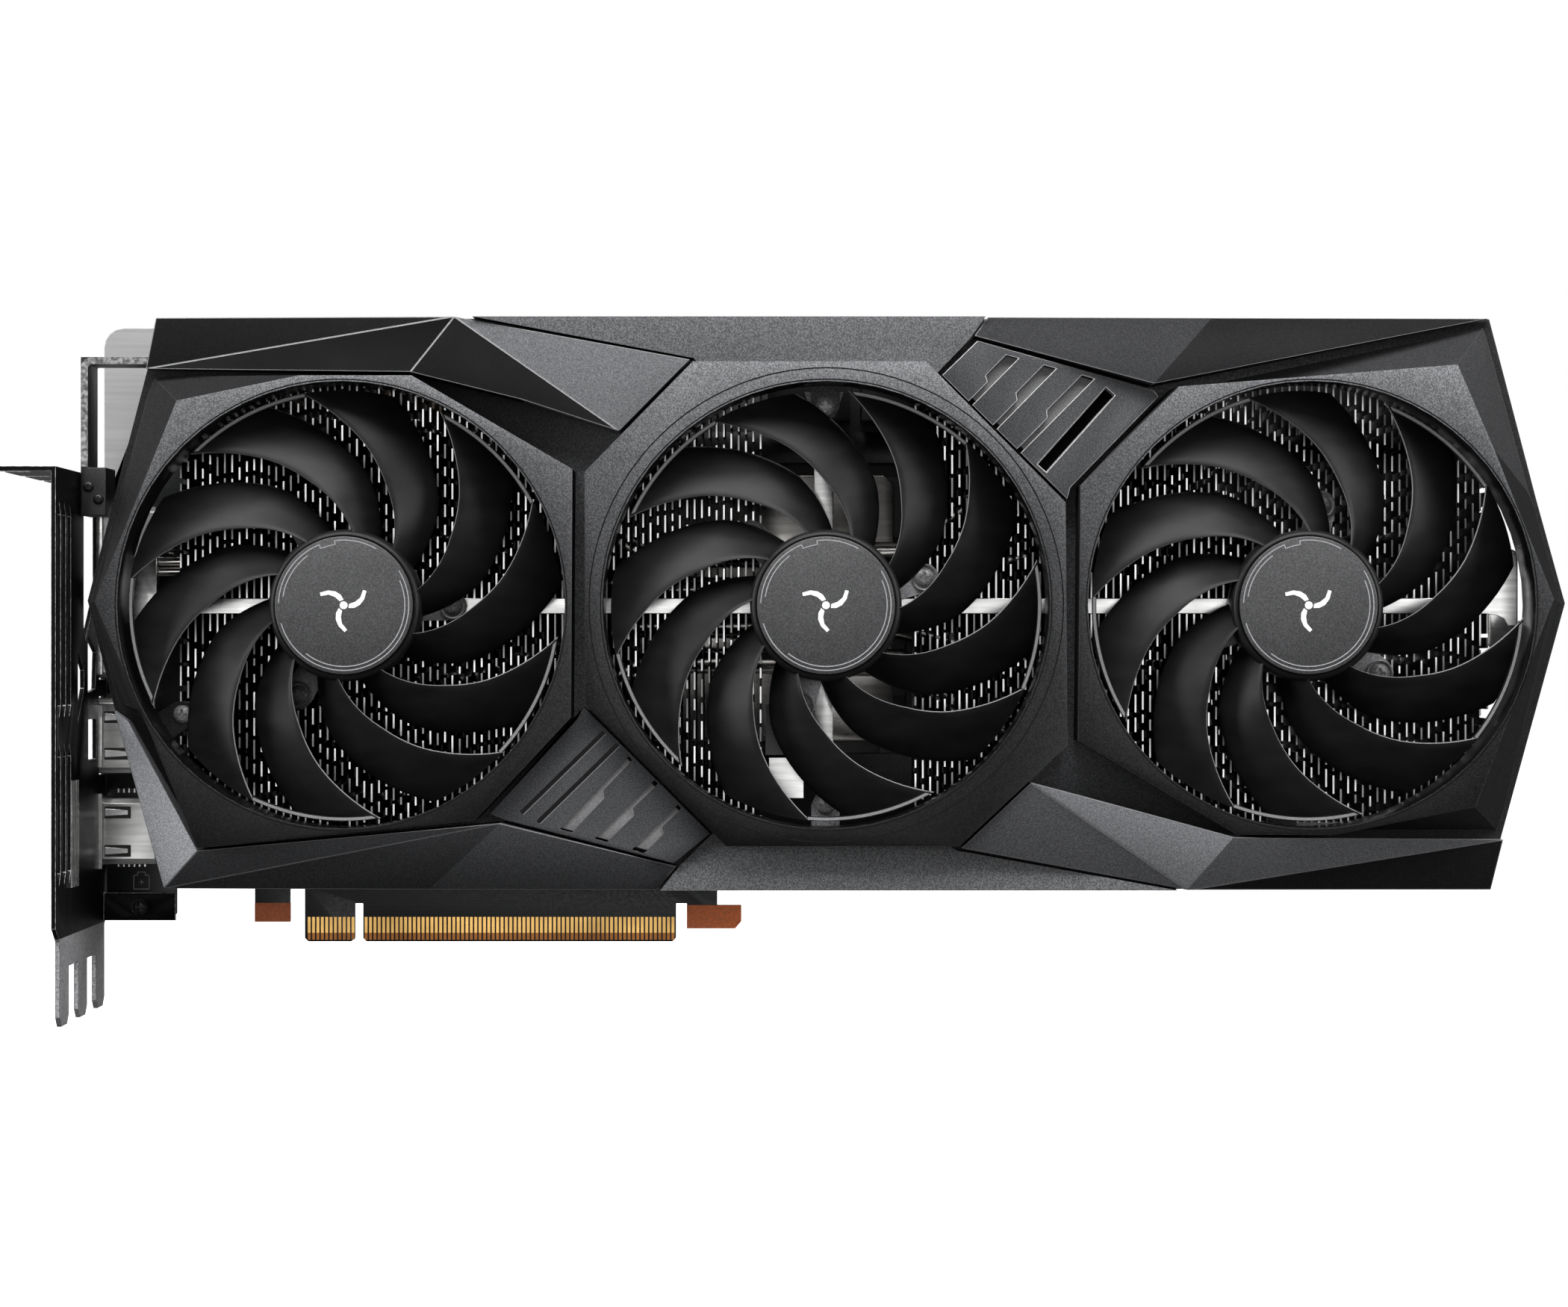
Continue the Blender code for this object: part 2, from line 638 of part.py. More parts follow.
def build_heat_pipes(materials):
    """Make four heat pipes that run over the cold plate and fan out under the fins."""
    routes = ((36.0, 64.0, 40.0), (60.0, 72.0, 62.0), (92.0, 80.0, 90.0), (116.0, 88.0, 112.0))
    left, right, steps = -70.0, 204.0, 14
    for number, route in enumerate(routes, start=1):
        curve = bpy.data.curves.new(f"heat_pipe_{number}", "CURVE")
        curve.dimensions = "3D"
        curve.bevel_depth = HEAT_PIPE_RADIUS * MM
        curve.bevel_resolution = 2
        curve.use_fill_caps = True
        spline = curve.splines.new("POLY")
        spline.points.add(steps)
        for i, point in enumerate(spline.points):
            x = left + (right - left) * i / steps
            spot = place(x, pipe_height_z(x, *route), HEAT_PIPE_HEIGHT)
            point.co = (*spot, 1.0)
        curve.materials.append(materials["copper_pipe"])
        item = bpy.data.objects.new(f"heat_pipe_{number}", curve)
        bpy.context.scene.collection.objects.link(item)


# ---------------------------------------------------------------- shroud

SHROUD_OUTLINE = [
    (-76.1, 138.6), (-78.2, 127.4), (-91.2, 77.2), (-85.4, 54.0), (-74.4, 14.6),
    (213.9, 14.4), (216.4, 25.8), (230.3, 76.6), (224.0, 99.4), (213.8, 138.4),
]

# Each frame corner is (front x, front z, rear x, rear z): where the two differ, the wall slopes.
LEFT_FRAME = [
    (-69.8, 119.9, -77.2, 126.0), (-43.6, 125.3, -43.6, 125.3), (-19.5, 125.3, -19.5, 125.3),
    (15.0, 105.2, 15.0, 105.2), (14.7, 52.0, 14.7, 52.0), (-5.9, 29.9, -5.9, 29.9),
    (-65.4, 24.0, -65.4, 24.0), (-77.6, 53.9, -80.6, 52.6), (-78.0, 54.9, -84.7, 54.8),
    (-87.3, 76.7, -90.7, 77.2),
]
MIDDLE_FRAME = [
    (40.8, 128.3, 40.8, 128.3), (90.75, 128.3, 90.75, 128.3), (120.7, 98.1, 120.7, 98.1),
    (121.1, 46.0, 121.1, 46.0), (97.95, 24.4, 97.95, 24.4), (48.0, 24.4, 48.0, 24.4),
    (17.8, 54.8, 17.8, 54.8), (17.6, 104.6, 17.6, 104.6),
]
RIGHT_FRAME = [
    (145.0, 122.9, 144.0, 123.0), (204.7, 127.6, 213.0, 137.2), (212.5, 109.5, 223.4, 99.5),
    (225.3, 77.4, 229.7, 76.7), (208.5, 32.8, 216.0, 26.9), (178.0, 26.8, 178.0, 26.8),
    (157.5, 26.9, 157.5, 26.9), (123.4, 47.0, 123.4, 47.0), (123.9, 101.7, 123.9, 101.7),
]
TOP_MID_PANEL = [
    (-7.0, 138.5), (40.8, 129.5), (45.0, 125.0), (89.0, 125.0), (93.4, 126.2),
    (100.5, 133.6), (103.9, 138.5),
]
BOTTOM_MID_PANEL = [
    (37.9, 20.0), (45.6, 27.6), (60.0, 28.0), (90.0, 28.0), (97.6, 23.2),
    (145.5, 14.5), (33.6, 14.5),
]
MOUNT_TABS = {"middle": (90.0, 270.0), "left": (213.0,), "right": (265.0,)}


def fan_centre(side):
    """Return a fan's (x, z) centre."""
    return FAN_CENTRES_X[side], FAN_CENTRE_Z


def hollow_frame(outline, side):
    """Return the cutter that hollows a frame but leaves the tube round its fan."""
    core = prism("core", inset(outline, SHROUD_WALL), 30.0, FRAME_FRONT - SHROUD_WALL)
    cut(core, cylinder(*fan_centre(side), FAN_OPENING_RADIUS + 1.6, 29.0, FRAME_FRONT, 40))
    return core


def mount_tab(side, angle):
    """Return a screw tab that reaches inwards under the rim of a fan opening."""
    centre = fan_centre(side)
    tab = prism("tab", lug_outline(centre, 51.6, MOUNT_TAB_RADIUS, angle, 3.1), *EAR_LAYER)
    riser = lug_outline(centre, 51.3, 50.0, angle, 2.8, steps=1)
    join(tab, prism("riser", riser, EAR_LAYER[0] + 0.2, SHROUD_PLATE - 1.0))
    return tab


def build_shroud(materials):
    """Make the shroud shell: a walled plate with three raised, hollow fan frames."""
    shell = prism("shroud_shell", SHROUD_OUTLINE, SHROUD_BACK, SHROUD_PLATE, materials["shroud_plastic"])
    frames = {"left": LEFT_FRAME, "middle": MIDDLE_FRAME, "right": RIGHT_FRAME}
    fronts = {side: [corner[:2] for corner in frame] for side, frame in frames.items()}
    for side, frame in frames.items():
        rear = [corner[2:] for corner in frame]
        join(shell, prism("frame", rear, SHROUD_PLATE - 1.0, FRAME_FRONT, top_outline=fronts[side]))
    for panel in (TOP_MID_PANEL, BOTTOM_MID_PANEL):
        join(shell, prism("panel", panel, SHROUD_PLATE - 1.0, MID_PANEL_FRONT))
    inside = inset(SHROUD_OUTLINE, SHROUD_WALL)
    cut(shell, prism("inside", inside, SHROUD_BACK - 1.0, SHROUD_PLATE - SHROUD_WALL))
    brace_notch = block(-84.0, -70.0, 128.6, 131.8, SHROUD_BACK - 2.0, 30.8)
    combine(shell, brace_notch, "DIFFERENCE", solver="MANIFOLD")
    for side, front in fronts.items():
        cut(shell, hollow_frame(front, side))
    for side in frames:
        cut(shell, cylinder(*fan_centre(side), FAN_OPENING_RADIUS, 10.0, 60.0, 56))
    for side, angles in MOUNT_TABS.items():
        for angle in angles:
            join(shell, mount_tab(side, angle))
            spot = polar(fan_centre(side), MOUNT_TAB_RADIUS, angle)
            cut(shell, cylinder(*spot, 1.5, 30.0, 36.0, 8))


def build_trims(materials):
    """Make the four faceted corner trims, each four-cornered facet on one plane."""
    trim = materials["trim_plastic"]
    peak, ridge, root = (-11.0, 138.6, 42.5), (-19.7, 126.0, 50.4), (25.0, 113.4, 49.0)
    faceted("trim_top_left", [
        (-76.1, 138.6, 39.5), peak, (40.1, 129.0, 46.5), root,
        on_plane(peak, ridge, root, 4.3, 120.1), ridge, (-78.0, 127.4, 41.0),
    ], [(0, 6, 1), (6, 5, 1), (1, 5, 4, 3), (1, 3, 2)], TRIM_BASE, trim)

    notch, ridge, edge = (101.4, 134.2, 45.0), (139.6, 123.5, 50.4), (153.2, 138.5, 40.5)
    faceted("trim_top_right", [
        on_plane(notch, ridge, edge, 104.5, 138.5), notch, ridge, (213.4, 138.4, 40.0), edge,
    ], [(0, 1, 2, 4), (4, 2, 3)], TRIM_BASE, trim)

    faceted("trim_bottom_right", [
        (98.4, 23.9, 48.5), (113.3, 38.0, 49.5), (156.9, 26.3, 50.2), (216.2, 25.4, 41.5),
        (213.9, 14.4, 39.5), (147.7, 14.5, 42.0),
    ], [(0, 1, 5), (1, 2, 5), (2, 3, 5), (3, 4, 5)], TRIM_BASE, trim)

    side, corner, shoulder = (-85.0, 53.4, 40.5), (-74.3, 14.7, 40.0), (-65.8, 23.3, 47.0)
    crest, edge, notch = (-0.5, 29.3, 50.0), (-16.7, 14.5, 40.5), (32.8, 14.5, 41.5)
    faceted("trim_bottom_left", [
        side, on_plane(side, corner, shoulder, -81.5, 51.0), shoulder, corner,
        crest, on_plane(crest, edge, notch, 37.1, 19.8), notch, edge,
    ], [(0, 3, 2, 1), (2, 3, 4), (3, 7, 4), (4, 7, 6, 5)], TRIM_BASE, trim)


LOWER_PANEL = [
    (15.9, 51.6), (17.2, 54.2), (44.4, 27.0), (36.6, 20.6), (0.0, 30.0), (-2.9, 31.2),
]
UPPER_PANEL = [
    (94.4, 125.6), (121.3, 98.9), (122.0, 101.4), (141.0, 121.0), (140.0, 122.3), (102.0, 133.0),
]
# Each slot is (narrow end, wide end): it steps from narrow to wide at the middle of its length.
LOWER_SLOTS = [
    ((26.9, 43.6), (12.1, 27.9)), ((32.5, 38.5), (19.6, 25.9)), ((37.5, 33.2), (27.6, 23.5)),
]
UPPER_SLOTS = [
    ((100.8, 119.1), (110.8, 129.2)), ((106.0, 113.9), (118.9, 127.0)), ((111.2, 108.8), (127.1, 124.8)),
]
SLOT_WIDE = 2.4
SLOT_NARROW = 1.1
SLOT_SLANT = 1.3
# The groove beside the upper slots runs between these two ends.
GROOVE_ENDS = ((115.9, 105.6), (130.6, 122.1))
GROOVE_WIDTH = 2.6
GROOVE_DEPTH = 2.0


def slot_outline(narrow_end, wide_end):
    """Return a slot's outline: a narrow run that steps out to a wide one with a slanted end."""
    start = Vector(narrow_end)
    along = Vector(wide_end) - start
    across = Vector((-along.y, along.x)).normalized()
    step = start + along * 0.42
    widened = start + along * 0.47
    finish = start + along
    slanted = finish + across * SLOT_WIDE - along.normalized() * SLOT_SLANT
    return [
        tuple(start), tuple(finish), tuple(slanted),
        tuple(widened + across * SLOT_WIDE), tuple(step + across * SLOT_NARROW),
        tuple(start + across * SLOT_NARROW),
    ]


def groove_outline():
    """Return the outline of the straight groove in the upper panel."""
    start, end = (Vector(point) for point in GROOVE_ENDS)
    along = end - start
    across = Vector((-along.y, along.x)).normalized() * GROOVE_WIDTH / 2
    return [tuple(start - across), tuple(end - across), tuple(end + across), tuple(start + across)]


def build_panels(materials):
    """Make the two slotted panels and the light diffusers under them."""
    panels = {"lower": (LOWER_PANEL, LOWER_SLOTS), "upper": (UPPER_PANEL, UPPER_SLOTS)}
    for name, (outline, slots) in panels.items():
        panel = prism(f"slot_panel_{name}", outline, *PANEL_LAYER, materials["trim_plastic"])
        for narrow_end, wide_end in slots:
            cut(panel, prism("slot", slot_outline(narrow_end, wide_end), 40.0, 50.0))
        if name == "upper":
            cut(panel, prism("groove", groove_outline(), PANEL_LAYER[1] - GROOVE_DEPTH, 50.0))
        diffuser = inset(outline, 1.2)
        prism(f"light_diffuser_{name}", diffuser, *DIFFUSER_LAYER, materials["diffuser"])


def build_brace(materials):
    """Make the sheet-metal brace from the bracket's top to the cooler."""
    low, high = 19.0, 30.0
    black = materials["black_steel"]
    brace = block(-94.3, -92.6, 96.0, 130.9, low, high, "support_brace", black)
    flange = block(-94.3, -73.0, 129.3, 130.9, low, high)
    foot = block(-94.3, -88.7, 96.0, 106.6, low, high)
    join(brace, flange, foot)


# ---------------------------------------------------------------- fans

def blade_angle(radius):
    """Return the leading edge's angle at a radius, behind the tip's angle."""
    return BLADE_SWEEP * (radius - BLADE_TIP_RADIUS)


def blade_chord(radius):
    """Return the angle a blade covers at a radius."""
    growth = min(max(radius - HUB_RADIUS, 0.0) / 12.0, 1.0)
    return BLADE_ROOT_CHORD + (BLADE_CHORD - BLADE_ROOT_CHORD) * growth


def blade(centre, tip_angle):
    """Return one blade as a thin closed shell, swept forwards from hub to tip."""
    stations, chords = 5, 3
    low, high = BLADE_LAYER
    root = HUB_RADIUS - 0.6
    builder = bmesh.new()
    front, back = [], []
    for i in range(stations + 1):
        radius = root + (BLADE_TIP_RADIUS - root) * i / stations
        front_row, back_row = [], []
        for j in range(chords + 1):
            share = j / chords
            angle = tip_angle + blade_angle(radius) - blade_chord(radius) * share
            height = high - (high - low - BLADE_THICKNESS) * share ** 0.85
            x, z = polar(centre, radius, angle)
            front_row.append(builder.verts.new(place(x, z, height)))
            back_row.append(builder.verts.new(place(x, z, height - BLADE_THICKNESS)))
        front.append(front_row)
        back.append(back_row)
    for i in range(stations):
        for j in range(chords):
            builder.faces.new((front[i][j], front[i + 1][j], front[i + 1][j + 1], front[i][j + 1]))
            builder.faces.new((back[i][j], back[i][j + 1], back[i + 1][j + 1], back[i + 1][j]))
        builder.faces.new((front[i][0], back[i][0], back[i + 1][0], front[i + 1][0]))
        builder.faces.new((front[i][-1], front[i + 1][-1], back[i + 1][-1], back[i][-1]))
    for j in range(chords):
        builder.faces.new((front[0][j], front[0][j + 1], back[0][j + 1], back[0][j]))
        builder.faces.new((front[-1][j], back[-1][j], back[-1][j + 1], front[-1][j + 1]))
    return make_object("blade", builder, None)


def blade_link(centre, start, finish):
    """Return the thin arc that ties the tips of two blades together."""
    steps = 5
    angles = [start + (finish - start) * i / steps for i in range(steps + 1)]
    outer = [polar(centre, LINK_RADII[1], angle) for angle in angles]
    inner = [polar(centre, LINK_RADII[0], angle) for angle in reversed(angles)]
    return prism("link", outer + inner, *LINK_LAYER)


def move_origin(item, origin):
    """Put an object's origin on its axis without moving its shape."""
    shift = origin - item.location
    for vertex in item.data.vertices:
        vertex.co -= shift
    item.location = origin


def build_impeller(side, materials):
    """Make a fan's hub cup with its five linked pairs of blades."""
    centre = fan_centre(side)
    low, high = HUB_LAYER
    inner = HUB_RADIUS - HUB_WALL
    profile = (
        (0.0, high), (HUB_RIM_RADIUS, high), (HUB_RADIUS, high - 1.0), (HUB_RADIUS, low),
        (inner, low), (inner, high - HUB_WALL), (0.0, high - HUB_WALL),
    )
    impeller = turned(f"impeller_{side}", profile, centre, materials["fan_plastic"], 32)
    for pair in range(BLADE_PAIRS):
        lead = FAN_TIP_ANGLE[side] + pair * 360.0 / BLADE_PAIRS
        follower = lead - PAIR_OFFSET
        link = blade_link(centre, follower - 1.5, lead - 1.2)
        join(impeller, blade(centre, lead), blade(centre, follower), link, solver="MANIFOLD")
    move_origin(impeller, place(*centre, 0.0))
    smooth(impeller)


def motor_base(side, materials):
    """Make a fan's fixed base: a disc with a bearing boss and three screw ears."""
    centre = fan_centre(side)
    name = f"motor_base_{side}"
    base = cylinder(*centre, 15.8, *MOTOR_BASE_LAYER, 28, name, materials["fan_plastic"])
    join(base, cylinder(*centre, 4.1, MOTOR_BASE_LAYER[0] + 0.5, 42.0, 16))
    for ear in range(3):
        angle = FAN_EAR_ANGLE[side] + 120.0 * ear
        spot = polar(centre, EAR_RADIUS_FROM_AXIS, angle)
        outline = lug_outline(centre, 12.0, EAR_RADIUS_FROM_AXIS, angle, 3.2)
        join(base, prism("ear", outline, *EAR_LAYER))
        cut(base, cylinder(*spot, 1.4, 30.0, 36.0, 8))
    cut(base, cylinder(*centre, 2.9, MOTOR_BASE_LAYER[0] + 0.6, 43.0, 16))
    smooth(base)


def build_fan(side, materials):
    """Make one fan: impeller, cap, shaft and magnet turn; the rest stays still."""
    centre = fan_centre(side)
    build_impeller(side, materials)
    low, high = CAP_LAYER
    cap = ((0.0, high), (CAP_RADIUS, high), (CAP_RADIUS, low), (0.0, low))
    turned(f"hub_cap_{side}", cap, centre, materials["cap_label"], 32)
    shaft = ((0.0, 42.8), (1.4, 42.8), (1.4, 34.9), (0.0, 34.9))
    turned(f"shaft_{side}", shaft, centre, materials["bright_steel"], 12)
    ring(f"magnet_ring_{side}", centre, 13.3, 14.8, 36.6, 42.6, materials["magnet"], 24)
    ring(f"bearing_{side}", centre, 1.75, 2.55, 34.7, 41.7, materials["copper_pipe"], 12)
    stator = ring(f"stator_{side}", centre, 4.5, 12.7, 36.4, 41.6, materials["winding"], 24)
    for tooth in range(4):
        spot = polar(centre, 11.4, 45.0 + 90.0 * tooth)
        cut(stator, cylinder(*spot, 2.4, 30.0, 50.0, 8))
    move_origin(stator, place(*centre, 0.0))
    motor_base(side, materials)


# ---------------------------------------------------------------- fasteners

def screw(name, spot, head_low, direction, shank, materials, finish):
    """Make a cross-head screw whose head faces the front (1) or the back (-1)."""
    x, z = spot
    head = 2.4
    top = head_low + direction * 0.9
    profile = (
        (0.0, top), (head - 0.5, top), (head, top - direction * 0.4), (head, head_low),
        (shank[0], head_low), (shank[0], head_low - direction * shank[1]),
        (0.0, head_low - direction * shank[1]),
    )
    item = turned(name, profile, spot, materials[finish], 12)
    depth = sorted((top - direction * 0.6, top + direction * 0.5))
    recess = block(x - 1.3, x + 1.3, z - 0.25, z + 0.25, *depth)
    join(recess, block(x - 0.25, x + 0.25, z - 1.3, z + 1.3, *depth))
    cut(item, recess)


def build_screws(materials):
    """Make the screws that hold the shroud, the bracket and the cold plate."""
    head_low = EAR_LAYER[1] + GAP
    for name, angle in (("shroud_screw_top", 90.0), ("shroud_screw_bottom", 270.0)):
        spot = polar(fan_centre("middle"), MOUNT_TAB_RADIUS, angle)
        screw(name, spot, head_low, 1, (1.1, 1.4), materials, "bright_steel")
    screw("foot_screw", FOOT, 1.7, 1, (1.35, 3.0), materials, "black_steel")
    back = BACK_PLATE_LAYER[0] - GAP
    for number, spot in enumerate(back_screw_places(), start=1):
        screw(f"clamp_screw_{number}", spot, back, -1, (1.2, 3.4), materials, "black_steel")


def main():
    clear_scene()
    materials = make_materials()
    build_board(materials)
    build_bracket(materials)
    build_sockets(materials)
    build_power_sockets(materials)
    build_plates(materials)
    build_fin_stacks(materials)
    build_rail(materials)
    build_heat_pipes(materials)
    build_shroud(materials)
    build_trims(materials)
    build_panels(materials)
    build_brace(materials)
    for side in FAN_CENTRES_X:
        build_fan(side, materials)
    build_screws(materials)


main()
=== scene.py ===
"""Looks of the triple-fan graphics card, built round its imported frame.

Lengths are in millimetres and are scaled to metres when a mesh is made. A "height" is a
distance in front of the board's component face, towards the fans, as in the part's design.
"""

import json
import math
import random

import bmesh
import bpy
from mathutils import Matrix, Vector


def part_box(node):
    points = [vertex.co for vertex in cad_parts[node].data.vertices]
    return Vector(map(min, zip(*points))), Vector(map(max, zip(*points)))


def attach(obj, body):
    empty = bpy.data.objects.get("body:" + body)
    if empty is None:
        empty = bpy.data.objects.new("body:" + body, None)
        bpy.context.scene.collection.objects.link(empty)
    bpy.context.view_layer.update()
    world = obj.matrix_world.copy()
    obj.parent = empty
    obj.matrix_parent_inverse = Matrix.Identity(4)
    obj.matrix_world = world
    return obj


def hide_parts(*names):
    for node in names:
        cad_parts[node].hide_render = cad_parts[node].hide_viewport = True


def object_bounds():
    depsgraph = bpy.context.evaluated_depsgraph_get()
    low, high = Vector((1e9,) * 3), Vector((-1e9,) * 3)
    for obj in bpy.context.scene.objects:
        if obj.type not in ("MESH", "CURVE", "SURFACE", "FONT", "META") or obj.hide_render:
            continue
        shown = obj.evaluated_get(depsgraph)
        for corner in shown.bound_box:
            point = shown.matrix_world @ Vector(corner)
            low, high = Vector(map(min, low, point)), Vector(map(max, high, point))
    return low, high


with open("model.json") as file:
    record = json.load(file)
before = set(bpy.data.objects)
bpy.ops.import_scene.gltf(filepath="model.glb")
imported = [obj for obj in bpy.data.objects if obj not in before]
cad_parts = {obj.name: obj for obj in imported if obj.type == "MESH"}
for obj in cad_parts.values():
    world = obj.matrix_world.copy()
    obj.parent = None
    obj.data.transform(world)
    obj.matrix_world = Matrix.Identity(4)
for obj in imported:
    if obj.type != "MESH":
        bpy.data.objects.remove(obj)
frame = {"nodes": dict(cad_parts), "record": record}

CAD_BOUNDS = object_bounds()
NODES = frame["nodes"]
SLOT_OF = {row["node"]: row["material_slot"] for row in frame["record"]["subparts"]}
BODY_OF = {node: body for body, nodes in frame["record"]["behaviour"]["bodies"].items() for node in nodes}
SIDES = ("left", "middle", "right")

MM = 0.001
BOARD_FACE_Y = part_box("pcb")[0].y

# Camera, as the card is seen: straight at its fans, from just above its middle.
CAMERA_X = 60.35
CAMERA_Z = 65.7
CAMERA_DISTANCE = 820.0
CAMERA_LENS = 82.5
FLOOR_DROP = 45.0

# Blades: how far round each edge lies at a radius, behind the tip of the leading edge.
BLADE_LEADING = (
    (15.6, -52.0), (20.0, -43.9), (27.7, -29.6), (34.7, -18.8), (39.7, -10.5), (43.4, -4.6), (46.6, 0.4),
)
BLADE_TRAILING = ((15.6, -72.5), (20.0, -66.0), (28.9, -54.1), (33.7, -45.4), (40.9, -33.0), (46.6, -23.5))
BLADE_PAIRS = 5
BLADE_HALF_THICKNESS = 0.62
PAIR_OFFSET = 34.3
TIP_ANGLE = {"left": 63.3, "middle": 11.8, "right": 68.4}

# Screw ears of the fans' fixed bases, and the shroud's round openings.
EARS = 3
EAR_ANGLE = {"left": 0.0, "middle": 16.0, "right": 79.0}
# Each fan's base and ear screws take a tone of painted light, the same parts lit differently on each fan; the
# rims take it a step darker.
EAR_PAINTED_LIGHT = {"left": 0.2, "middle": 1.8, "right": 1.3}
EAR_RIM_TONE_STEP = -0.6
EAR_RADIUS = 22.5
BORE_RADIUS = 48.0
SHROUD_PLATE = 50.0

# Fins: their front edges are dashes of random length between notches, but whole under the rail.
FIN_PITCH = 1.6
FIN_THICKNESS = 0.36
FIN_DASH = (1.6, 4.4)
FIN_GAP = (0.7, 2.2)
FIN_NOTCH = 10.0
FIN_SEED = 7
RAIL_MIDDLE_Z = 76.1
RAIL_HALF_WIDTH = 4.5

# The bracket's sheet is black above this, and its tails are grey below.
TAIL_GREY_Z = 4.6
TAIL_TONE = 6.6


# ---------------------------------------------------------------- places

def place(x, z, height):
    """Return the world position of a point at a height above the board."""
    return Vector((x * MM, BOARD_FACE_Y - height * MM, z * MM))


def span(node):
    """Return a node's (left, right, bottom, top, low, high) in millimetres."""
    low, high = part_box(node)
    heights = (BOARD_FACE_Y - high.y) / MM, (BOARD_FACE_Y - low.y) / MM
    return low.x / MM, high.x / MM, low.z / MM, high.z / MM, *heights


def middle_of(node):
    """Return a node's (x, z) middle."""
    left, right, bottom, top = span(node)[:4]
    return (left + right) / 2, (bottom + top) / 2


def fan_centre(side):
    """Return a fan's (x, z) centre, on its hub cap's axis."""
    return middle_of(f"hub_cap_{side}")


def polar(centre, radius, degrees):
    """Return the (x, z) point at an angle, counter-clockwise seen from the front."""
    angle = math.radians(degrees)
    return centre[0] + radius * math.cos(angle), centre[1] + radius * math.sin(angle)


def between(table, value):
    """Return the value on the straight lines between a table's (key, value) rows."""
    for (k0, v0), (k1, v1) in zip(table, table[1:]):
        if value <= k1:
            return v0 + (v1 - v0) * (value - k0) / (k1 - k0)
    return table[-1][1]


# ---------------------------------------------------------------- materials

def principled(name, color, roughness, metallic=0.0):
    """Return a new material, its node tree and its Principled shader."""
    material = bpy.data.materials.new(name)
    material.use_nodes = True
    tree = material.node_tree
    shader = tree.nodes["Principled BSDF"]
    shader.inputs["Base Color"].default_value = (*color, 1.0)
    shader.inputs["Roughness"].default_value = roughness
    shader.inputs["Metallic"].default_value = metallic
    return material, tree, shader


def object_coords(tree):
    """Return the object's own coordinates."""
    return tree.nodes.new("ShaderNodeTexCoord").outputs["Object"]


def noise_node(tree, scale, detail=3.0, stretch=(1.0, 1.0, 1.0)):
    """Return a noise texture on the object's own coordinates."""
    mapping = tree.nodes.new("ShaderNodeMapping")
    mapping.inputs["Scale"].default_value = stretch
    noise = tree.nodes.new("ShaderNodeTexNoise")
    noise.inputs["Scale"].default_value = scale
    noise.inputs["Detail"].default_value = detail
    noise.inputs["Roughness"].default_value = 0.55
    tree.links.new(object_coords(tree), mapping.inputs["Vector"])
    tree.links.new(mapping.outputs["Vector"], noise.inputs["Vector"])
    return noise


def ramp_node(tree, source, stops):
    """Return a colour ramp's output over a source, from (position, color) stops."""
    ramp = tree.nodes.new("ShaderNodeValToRGB")
    elements = ramp.color_ramp.elements
    while len(elements) < len(stops):
        elements.new(0.5)
    for element, (position, color) in zip(elements, stops):
        element.position = position
        element.color = (*color, 1.0)
    tree.links.new(source, ramp.inputs["Fac"])
    return ramp.outputs["Color"]


def range_node(tree, source, low, high, start=0.3, end=0.7):
    """Return a source's stretch from start to end, the usual one of a noise, mapped to a range."""
    mapper = tree.nodes.new("ShaderNodeMapRange")
    mapper.inputs["From Min"].default_value = start
    mapper.inputs["From Max"].default_value = end
    mapper.inputs["To Min"].default_value = low
    mapper.inputs["To Max"].default_value = high
    tree.links.new(source, mapper.inputs["Value"])
    return mapper.outputs["Result"]


def multiply_node(tree, color, factor):
    """Return a colour times a factor that varies over the surface."""
    product = tree.nodes.new("ShaderNodeVectorMath")
    product.operation = "MULTIPLY"
    tree.links.new(color, product.inputs[0])
    tree.links.new(factor, product.inputs[1])
    return product.outputs["Vector"]


def bump_node(tree, shader, source, strength, depth_mm):
    """Give a shader a bump from a source's height."""
    bump = tree.nodes.new("ShaderNodeBump")
    bump.inputs["Strength"].default_value = strength
    bump.inputs["Distance"].default_value = depth_mm * MM
    tree.links.new(source, bump.inputs["Height"])
    tree.links.new(bump.outputs["Normal"], shader.inputs["Normal"])


def shade(color, factor):
    """Return a color made lighter or darker."""
    return tuple(min(channel * factor, 1.0) for channel in color)


def grained(
    name, color, roughness, grain_mm, contrast, bump, metallic=0.0, shine=0.5, follows_tone=False
):
    """Moulded plastic or powder coat: a fine spark-eroded grain in colour, gloss and height.

    One that follows the tone also doubles its colour for each unit of the mesh's tone attribute, which on
    most pieces is painted light and shade, and on the bracket also makes its tails grey.
    """
    material, tree, shader = principled(name, color, roughness, metallic)
    shader.inputs["Specular IOR Level"].default_value = shine
    fine = noise_node(tree, 1.0 / (grain_mm * MM), 2.0)
    stops = ((0.36, shade(color, 1 - contrast)), (0.5, color), (0.66, shade(color, 1 + 1.6 * contrast)))
    tint = ramp_node(tree, fine.outputs["Fac"], stops)
    if follows_tone:
        tone = tree.nodes.new("ShaderNodeAttribute")
        tone.attribute_name = "tone"
        power = tree.nodes.new("ShaderNodeMath")
        power.operation = "POWER"
        power.inputs[0].default_value = 2.0
        tree.links.new(tone.outputs["Fac"], power.inputs[1])
        tint = multiply_node(tree, tint, power.outputs["Value"])
    tree.links.new(tint, shader.inputs["Base Color"])
    broad = noise_node(tree, 60.0, 3.0)
    gloss = range_node(tree, broad.outputs["Fac"], roughness - 0.05, roughness + 0.06)
    tree.links.new(gloss, shader.inputs["Roughness"])
    bump_node(tree, shader, fine.outputs["Fac"], bump, 0.06)
    return material


